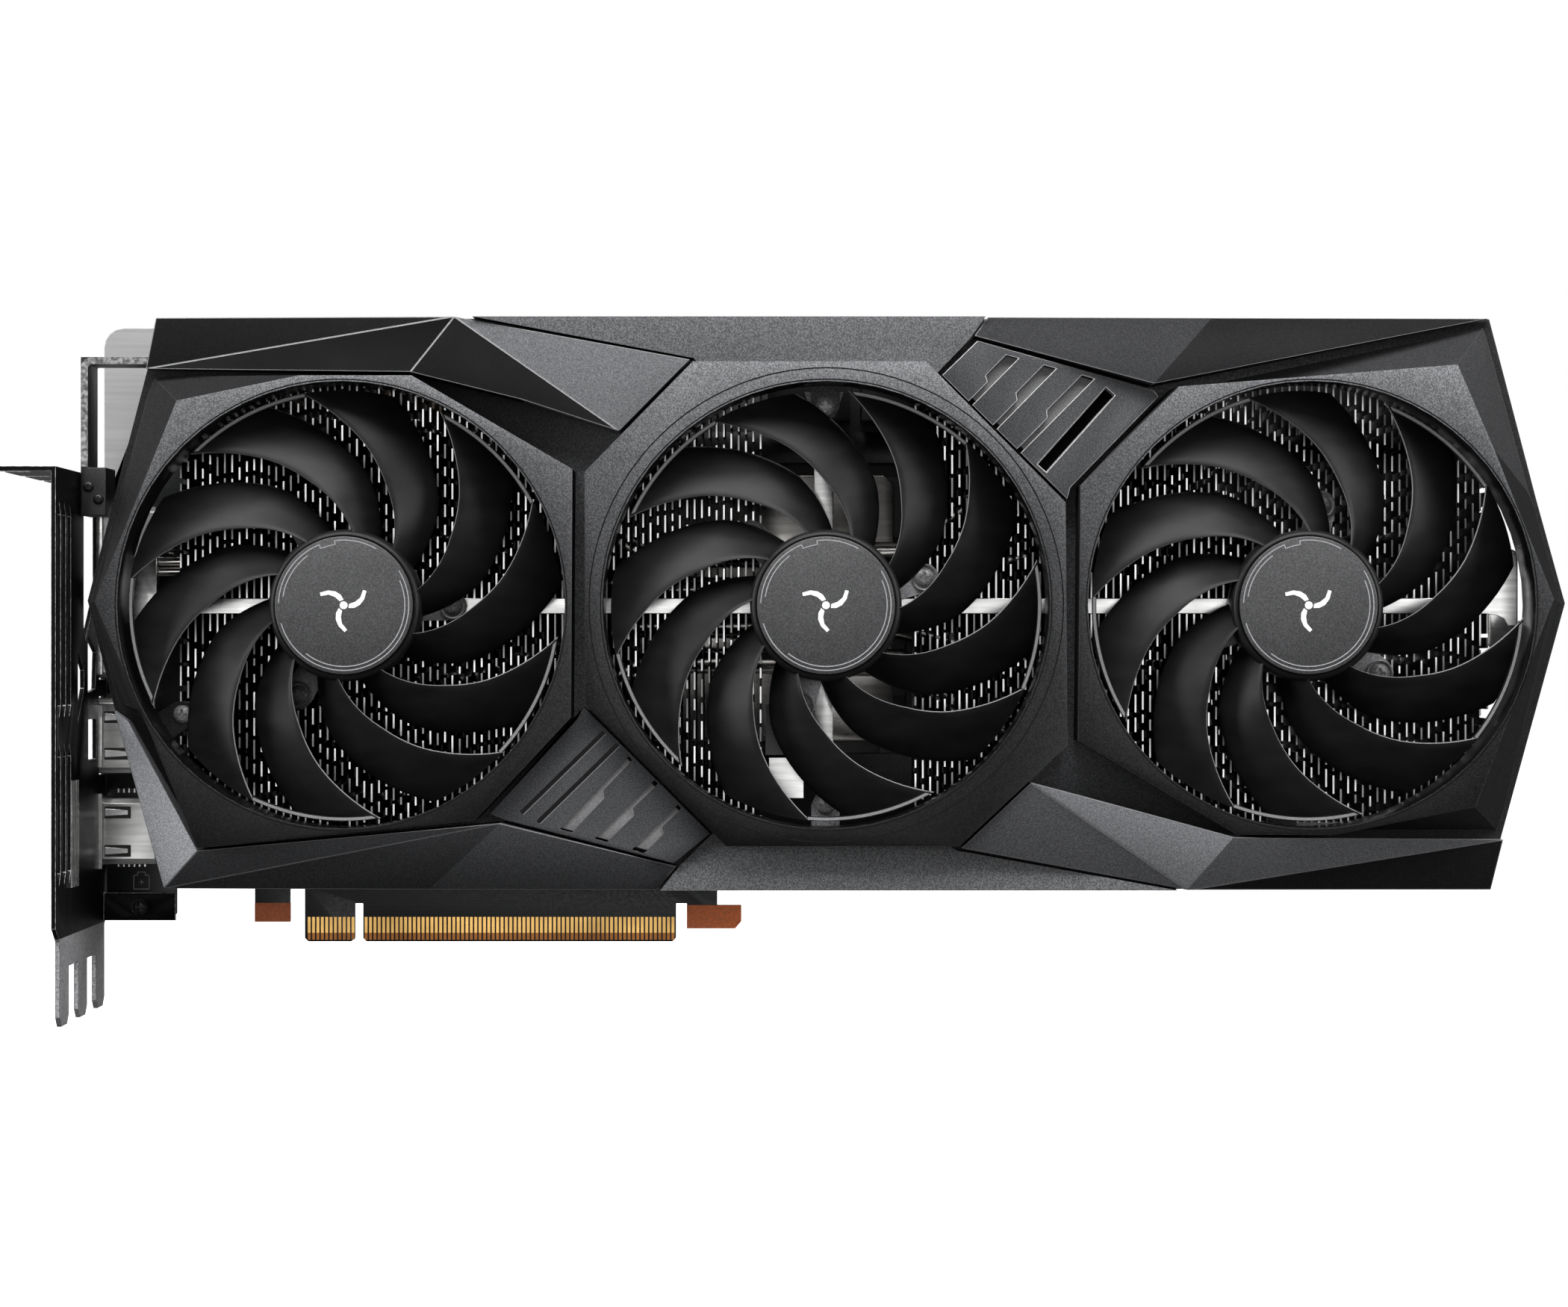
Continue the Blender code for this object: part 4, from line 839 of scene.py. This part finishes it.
def build_rim_line():
    """Lay a fine ring line outside each fan opening, and a second one round the middle fan's."""
    builder = bmesh.new()
    low, high = SHROUD_PLATE - 0.2, SHROUD_PLATE + 0.03
    for side in SIDES:
        lines = ((50.7, 50.95), (48.25, 48.5)) if side == "middle" else ((48.25, 48.5),)
        for inner, outer in lines:
            profile = ((inner, low), (outer, low), (outer, high), (inner, high))
            add_turned(builder, fan_centre(side), profile, 128, 0, True)
    finish_piece("rim_lines", builder, ("bore_plastic",), "card", "shroud_plastic", 30)


# ---------------------------------------------------------------- cooler

def fin_front(bottom, top, high, chance):
    """Return a fin's front edge as (z, height) points: dashes that stand out between deep notches."""
    points = [(bottom, high)]
    low, slant = high - FIN_NOTCH, 0.05
    z = bottom + chance.uniform(*FIN_DASH)
    while z < top - FIN_DASH[1]:
        gap = chance.uniform(*FIN_GAP)
        if z + gap < RAIL_MIDDLE_Z - RAIL_HALF_WIDTH or z > RAIL_MIDDLE_Z + RAIL_HALF_WIDTH:
            points += [(z, high), (z + slant, low), (z + gap, low), (z + gap + slant, high)]
        z += gap + chance.uniform(*FIN_DASH)
    return points + [(top, high)]


def build_fins(node):
    """Make a stack of thin fins whose front edges are cut into dashes, no two alike."""
    left, right, bottom, top, low, high = span(node)
    builder = bmesh.new()
    chance = random.Random(FIN_SEED)
    count = round((right - left - FIN_THICKNESS) / FIN_PITCH)
    pitch = (right - left - FIN_THICKNESS) / count
    front_y = place(0.0, 0.0, high - 1.0).y
    for i in range(count + 1):
        x = left + i * pitch
        rows = []
        for z, front in fin_front(bottom, top, high, chance):
            corners = ((x, front), (x + FIN_THICKNESS, front), (x + FIN_THICKNESS, low), (x, low))
            rows.append([builder.verts.new(place(a, z, h)) for a, h in corners])
        for first, second in zip(rows, rows[1:]):
            raised = abs(first[0].co.y - second[0].co.y) < 1e-6 and first[0].co.y < front_y
            # Raised dash fronts are aluminium, dim at random; every other face of a fin takes painted shade.
            edge = chance.choice((0, 0, 2)) if raised else 1
            for j in range(4):
                k = (j + 1) % 4
                face = builder.faces.new((first[j], first[k], second[k], second[j]))
                face.material_index = edge if j == 0 else 1
        builder.faces.new(rows[0])
        builder.faces.new(rows[-1])
    materials = ("aluminium", "fin_shade", "fin_edge_dim")
    item = finish_piece(f"{node}_fine", builder, materials, "card", "aluminium")
    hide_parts(node)


def build_rail_end():
    """Lay the rail's flared right end, which stands a little proud of its plate."""
    high = span("fin_rail")[5]
    builder = bmesh.new()
    flare = [
        (206.0, 74.4), (214.0, 74.4), (216.4, 74.1), (218.0, 73.3), (218.8, 71.8), (220.8, 71.8),
        (220.8, 88.2), (215.4, 88.2), (215.4, 77.8), (206.0, 77.8),
    ]
    add_prism(builder, flare, high, high + 0.25)
    item = finish_piece("rail_end", builder, ("bright_steel",), "card", "bright_steel")
    add_bevel(item, 0.1)


def build_gap_bits():
    """Make the small parts that show between the fin stacks and at the cooler's left end."""
    builder = bmesh.new()
    add_box(builder, 57.1, 64.6, 34.0, 42.8, 28.0, 31.2)
    add_box(builder, 56.3, 61.4, 43.4, 54.5, 27.6, 28.6, 1)
    add_turned(builder, (59.6, 51.0), ((0.0, 29.2), (1.0, 29.0), (1.1, 28.4), (0.0, 28.4)), 20)
    finish_piece("gap_bracket", builder, ("bright_steel", "base_plastic"), "card", "bright_steel", 30)
    builder = bmesh.new()
    coil = [
        place(-74.7 + 1.3 * math.cos(t / 2), 87.5 + 0.35 * t / math.pi, 30.0 + 1.3 * math.sin(t / 2))
        for t in range(52)
    ]
    add_tube(builder, coil, 0.28, 8)
    for z in (85.9, 83.7):
        add_tube(builder, [place(-78.6, z, 30.4), place(-75.0, z, 30.4), place(-72.3, z, 30.2)], 1.0, 16)
    finish_piece("cooler_clip", builder, ("nickel_copper",), "card", "nickel_copper", 60)


# ---------------------------------------------------------------- board

def build_contacts():
    """Make the gilt contacts on both faces of the board's edge."""
    back, front = span("pcb")[4:]
    builder = bmesh.new()
    thin, half = 0.035, 0.32
    for first, count in ((-48.0, 11), (-35.0, 71)):
        for i in range(count):
            x = first + i
            for low, high in ((back - thin, back), (front, front + thin)):
                add_box(builder, x - half, x + half, 2.0, 5.6, low, high)
                add_box(builder, x - half, x + half, 0.4, 2.0, low, high, 1)
    finish_piece("edge_contacts", builder, ("gold", "worn_gold"), "card", "board")


def build_board_tabs():
    """Show the bare laminate on the side tab and the retainer hook."""
    low, high = span("pcb")[4:]
    builder = bmesh.new()
    hook = [(38.17, 2.97), (49.2, 2.97), (50.6, 4.6), (50.6, 8.3), (38.17, 8.3)]
    tab = [(-60.43, 4.47), (-52.37, 4.47), (-52.37, 8.8), (-60.43, 8.8)]
    for outline in (hook, tab):
        add_prism(builder, outline, low - 0.02, high + 0.02)
    finish_piece("bare_tabs", builder, ("bare_board",), "card", "board")


def build_board():
    """Refine the board and lay its contacts."""
    refine("pcb", 0.12, 30.0)
    build_contacts()
    build_board_tabs()
    build_socket_details()
    build_components()
    build_power_cells()


def build_socket_details():
    """Make the video sockets' spring fingers, the small parts by them and the print on the board."""
    builder = bmesh.new()
    fingers_of = {"hdmi_socket": (29.7, 21.0), "dp_socket_1": (51.3, 43.0), "dp_socket_2": (72.9, 64.6)}
    for node, fingers in fingers_of.items():
        top = span(node)[5]
        for z in fingers:
            add_box(builder, -93.6, -87.6, z - 1.35, z + 1.35, top - 0.1, top + 0.02, 1)
            tongue = [(-93.4, z - 0.9), (-88.3, z - 0.55), (-88.3, z + 0.55), (-93.4, z + 0.9)]
            add_prism(builder, tongue, top, top + 0.12, [(x, z + (b - z) * 0.8) for x, b in tongue])
    finish_piece("socket_springs", builder, ("bright_steel", "socket_plastic"), "card", "bright_steel")
    builder = bmesh.new()
    high = span("pcb")[5]
    for z in (34.0, 17.1):
        for x in (-91.6, -89.2, -86.8):
            add_box(builder, x, x + 1.6, z, z + 0.9, high, high + 0.5)
            add_box(builder, x + 0.35, x + 1.25, z - 0.02, z + 0.92, high, high + 0.52, 1)
    finish_piece("socket_resistors", builder, ("bright_steel", "socket_plastic"), "card", "board")
    builder = bmesh.new()
    for left, right, bottom, top in (
        (-88.1, -87.95, 11.9, 15.2), (-84.6, -84.45, 11.9, 15.2), (-88.1, -84.45, 11.9, 12.05),
        (-88.1, -87.2, 15.05, 15.2), (-85.4, -84.45, 15.05, 15.2), (-87.2, -87.05, 15.1, 15.8),
        (-85.5, -85.35, 15.1, 15.8), (-87.2, -85.35, 15.75, 15.9), (-86.8, -85.7, 13.5, 13.65),
        (-86.32, -86.18, 13.0, 14.1),
    ):
        add_box(builder, left, right, bottom, top, high, high + 0.02)
    finish_piece("board_print", builder, ("print_grey",), "card", "board")


def build_components():
    """Lay memory chips, capacitors and chokes on the board."""
    high = span("pcb")[5]
    builder = bmesh.new()
    for x in (22.0, 88.0):
        for z in (45.0, 63.0, 81.0, 99.0):
            add_box(builder, x - 6.0, x + 6.0, z - 7.0, z + 7.0, high, high + 1.1)
    chips = finish_piece("memory_chips", builder, ("chip",), "card", "chip")
    add_bevel(chips, 0.12)
    builder = bmesh.new()
    for i in range(12):
        spot = (-66.0 + 9.6 * i, 122.4)
        can = ((0.0, 0.0), (2.5, 0.0), (2.6, 0.4), (2.6, 5.6), (2.3, 5.9), (0.0, 5.9))
        add_turned(builder, spot, [(radius, high + rise) for radius, rise in can], 28)
        add_box(builder, spot[0] - 3.0, spot[0] + 3.0, 119.5, 125.3, high, high + 0.5, 1)
    for i in range(4):
        left = 120.0 + 7.4 * i
        add_box(builder, left, left + 6.2, 117.6, 124.0, high, high + 4.2, 1)
    finish_piece("capacitors", builder, ("capacitor", "socket_plastic"), "card", "chip", 30)


def build_power_cells():
    """Divide each power socket's mouth into two rows of four cells, with a pin in each."""
    builder = bmesh.new()
    for i in (1, 2, 3):
        left, right, _, top, low, high = span(f"power_socket_{i}")
        wall, inner = 0.9, (right - left - 1.8) / 4
        for k in (1, 2, 3):
            x = left + wall + inner * k
            add_box(builder, x - 0.4, x + 0.4, top - 10.0, top - 0.3, low + wall, high - wall)
        middle = (low + high) / 2
        add_box(builder, left + wall, right - wall, top - 10.0, top - 0.3, middle - 0.4, middle + 0.4)
        for k in range(4):
            x = left + wall + inner * (k + 0.5)
            for height in ((low + wall + middle) / 2, (high - wall + middle) / 2):
                add_box(builder, x - 0.5, x + 0.5, top - 10.0, top - 3.0, height - 0.5, height + 0.5, 1)
    finish_piece("power_cells", builder, ("socket_plastic", "gold"), "card", "socket_plastic")


# ---------------------------------------------------------------- stage

def aim(item, target):
    """Turn a light or camera towards a point."""
    item.rotation_euler = (Vector(target) - item.location).to_track_quat("-Z", "Y").to_euler()


def add_light(name, location, target, size, power):
    """Add a soft rectangular light."""
    light = bpy.data.lights.new(name, "AREA")
    light.shape = "RECTANGLE"
    light.size, light.size_y = size
    light.energy = power
    item = bpy.data.objects.new(name, light)
    item.location = location
    item.visible_camera = False
    bpy.context.scene.collection.objects.link(item)
    aim(item, target)


def build_world():
    """Make the surroundings, which are white to the camera and light the card only faintly."""
    world = bpy.data.worlds.new("studio")
    world.use_nodes = True
    tree = world.node_tree
    background = tree.nodes["Background"]
    path = tree.nodes.new("ShaderNodeLightPath")
    strength = tree.nodes.new("ShaderNodeMapRange")
    strength.inputs["To Min"].default_value = 0.13
    strength.inputs["To Max"].default_value = 1.0
    background.inputs["Color"].default_value = (1.0, 1.0, 1.0, 1.0)
    tree.links.new(path.outputs["Is Camera Ray"], strength.inputs["Value"])
    tree.links.new(strength.outputs["Result"], background.inputs["Strength"])
    bpy.context.scene.world = world


def build_stage():
    """Make the camera, the soft lights, the white surroundings and the pale floor."""
    scene = bpy.context.scene
    camera = bpy.data.cameras.new("camera")
    camera.lens = CAMERA_LENS
    camera.sensor_width = 36.0
    view = bpy.data.objects.new("camera", camera)
    view.location = place(CAMERA_X, CAMERA_Z, CAMERA_DISTANCE)
    view.rotation_euler = (math.radians(90), 0.0, 0.0)
    scene.collection.objects.link(view)
    scene.camera = view
    middle = place(CAMERA_X, CAMERA_Z, 30.0)
    add_light("top_softbox", (0.06, -0.55, 0.85), middle, (1.3, 0.5), 17.0)
    add_light("left_softbox", (-0.95, -0.42, 0.25), middle, (0.5, 0.8), 9.0)
    add_light("right_softbox", (1.05, -0.42, 0.3), middle, (0.5, 0.8), 7.0)
    add_light("front_softbox", (CAMERA_X * MM, -2.0, 0.09), middle, (1.4, 0.75), 5.0)
    add_light("back_softbox", (0.06, 1.0, 0.8), middle, (1.4, 0.8), 14.0)
    scene.view_settings.view_transform = "Standard"
    build_world()
    build_floor()


def build_floor():
    """Lay a wide pale floor a little under the card.

    It glows more the further out it lies, so that it meets the white surroundings without an edge,
    and it neither reflects in the card nor lights it.
    """
    builder = bmesh.new()
    bmesh.ops.create_grid(builder, x_segments=8, y_segments=8, size=6.0)
    mesh = bpy.data.meshes.new("floor")
    builder.to_mesh(mesh)
    builder.free()
    material, tree, shader = principled("floor_paint", (0.88, 0.88, 0.88), 0.8)
    speckle = noise_node(tree, 30.0, 3.0)
    stops = ((0.3, (0.86, 0.86, 0.86)), (0.7, (0.9, 0.9, 0.9)))
    tree.links.new(ramp_node(tree, speckle.outputs["Fac"], stops), shader.inputs["Base Color"])
    shader.inputs["Emission Color"].default_value = (1.0, 1.0, 1.0, 1.0)
    reach = tree.nodes.new("ShaderNodeVectorMath")
    reach.operation = "LENGTH"
    tree.links.new(object_coords(tree), reach.inputs[0])
    glow = range_node(tree, reach.outputs["Value"], 0.45, 1.0, 0.5, 2.5)
    tree.links.new(glow, shader.inputs["Emission Strength"])
    mesh.materials.append(material)
    floor = bpy.data.objects.new("floor", mesh)
    floor.location.z = CAD_BOUNDS[0].z - FLOOR_DROP * MM
    floor.visible_glossy = False
    floor.visible_diffuse = False
    bpy.context.scene.collection.objects.link(floor)


def bracket_tone(polygon, x, z):
    """Return a bracket tone: a black sheet, with grey tails and a grey bent tab."""
    middle = polygon.center / MM
    on_tab = middle.x < -96.2 and middle.z > 95.0
    return TAIL_TONE if middle.z < TAIL_GREY_Z or on_tab else 0.0


def build_bracket():
    """Refine the bracket, split its faces where the tails' grey begins, and add its contact springs."""
    # Its bevels, the slits' edges among them, take a painted highlight.
    bracket = refine("io_bracket", 0.3, 25.0, extra=("steel_edge_highlight",), edge="steel_edge_highlight")
    builder = bmesh.new()
    builder.from_mesh(bracket.data)
    everything = builder.verts[:] + builder.edges[:] + builder.faces[:]
    level = Vector((0.0, 0.0, TAIL_GREY_Z * MM))
    bmesh.ops.bisect_plane(builder, geom=everything, plane_co=level, plane_no=Vector((0.0, 0.0, 1.0)))
    builder.to_mesh(bracket.data)
    builder.free()
    paint_tones(bracket, bracket_tone)
    builder = bmesh.new()
    for height in (31.5, 33.5, 36.0, 38.5):
        add_box(builder, -94.7, -94.35, 14.8, 38.0, height, height + 0.35)
    for low, high in ((17.0, 34.0), (40.0, 54.0), (61.0, 76.0), (83.0, 97.0)):
        add_box(builder, -94.7, -93.9, low, high, 7.0, 7.5)
    finish_piece("bracket_springs", builder, ("bright_steel",), "card", "bright_steel")


def build_brace():
    """Refine the support brace and lay a painted highlight along its front edges."""
    refine("support_brace", 0.2, 25.0)
    left, right, _, top, _, high = span("support_brace")
    builder = bmesh.new()
    edge = [
        (left + 0.05, 106.8), (left + 1.6, 106.8), (left + 1.6, top - 2.2), (left + 2.2, top - 1.6),
        (right - 0.1, top - 1.6), (right - 0.1, top - 0.05), (left + 2.4, top - 0.05),
        (left + 0.8, top - 0.6), (left + 0.05, top - 2.0),
    ]
    add_prism(builder, edge, high - 0.2, high + 0.06)
    finish_piece("brace_edge", builder, ("steel_edge_highlight",), "card", "black_steel")
    for number, spot in enumerate(((-92.6, 102.4), (-90.4, 99.6)), start=1):
        cross_screw(f"brace_screw_{number}", spot, high, 1.2, 0.7, "black_steel", "black_steel")


def node_screw(node):
    """Return what a screw that stands in for a CAD screw needs: its spot, low, radius and height."""
    left, right, _, _, low, high = span(node)
    return middle_of(node), low, (right - left) / 2, high - low


def build_screws():
    """Make the shroud's screws and the foot's screw, with their cross recesses."""
    # The shroud's screws, here and at the fans' sides below, are of one steel; their tones are painted light,
    # the top one lit most.
    for name, tone in (("top", 2.4), ("bottom", 1.2)):
        node = f"shroud_screw_{name}"
        item = toned_screw(f"{node}_fine", *node_screw(node), tone)
        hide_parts(node)
    low, high = span("shroud_screw_top")[4:]
    builder = bmesh.new()
    foot = [(66.4, 117.6), (71.6, 117.6), (73.4, 122.9), (64.8, 122.9)]
    add_prism(builder, foot, low - 0.4, low + 0.12)
    tab = finish_piece("tab_plate", builder, ("base_plastic",), "card", "fan_plastic")
    paint_tones(tab, even_tone(1.4))
    add_bevel(tab, 0.1)
    for side, angle in (("left", 213.0), ("right", 265.0)):
        spot = polar(fan_centre(side), 43.6, angle)
        toned_screw(f"shroud_screw_{side}", spot, high - 1.4, 2.1, 1.2, 1.2)
    item = cross_screw("foot_screw_fine", *node_screw("foot_screw"), "black_steel", "black_steel")
    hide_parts("foot_screw")


def build_card():
    """Make every visible piece of the card."""
    for side in SIDES:
        build_fan(side)
    build_shroud()
    for node in ("fin_stack_left", "fin_stack_right"):
        build_fins(node)
    build_board()
    build_rail_end()
    build_gap_bits()
    build_bracket()
    build_brace()
    for node in ("fin_rail", "mid_plate", "cold_plate", "gpu_package"):
        refine(node, 0.15, 25.0)
    plate = refine("backplate", 0.15, 25.0)
    plate.data.shade_flat()
    plate.modifiers["edges"].harden_normals = False
    for node in ("hdmi_socket", "dp_socket_1", "dp_socket_2", "dp_socket_3"):
        refine(node, 0.2, 30.0, 3).data.materials[0] = MATERIALS["socket_shell"]
    for i in (1, 2, 3, 4):
        refine(f"heat_pipe_{i}", 0.05, 70.0)
    for i in (1, 2, 3):
        refine(f"power_socket_{i}", 0.25, 30.0)
    build_screws()
    for node, item in NODES.items():
        if not item.hide_render:
            item.data.materials.clear()
            item.data.materials.append(MATERIALS[SLOT_OF[node]])


MATERIALS = make_materials()
build_stage()
build_card()
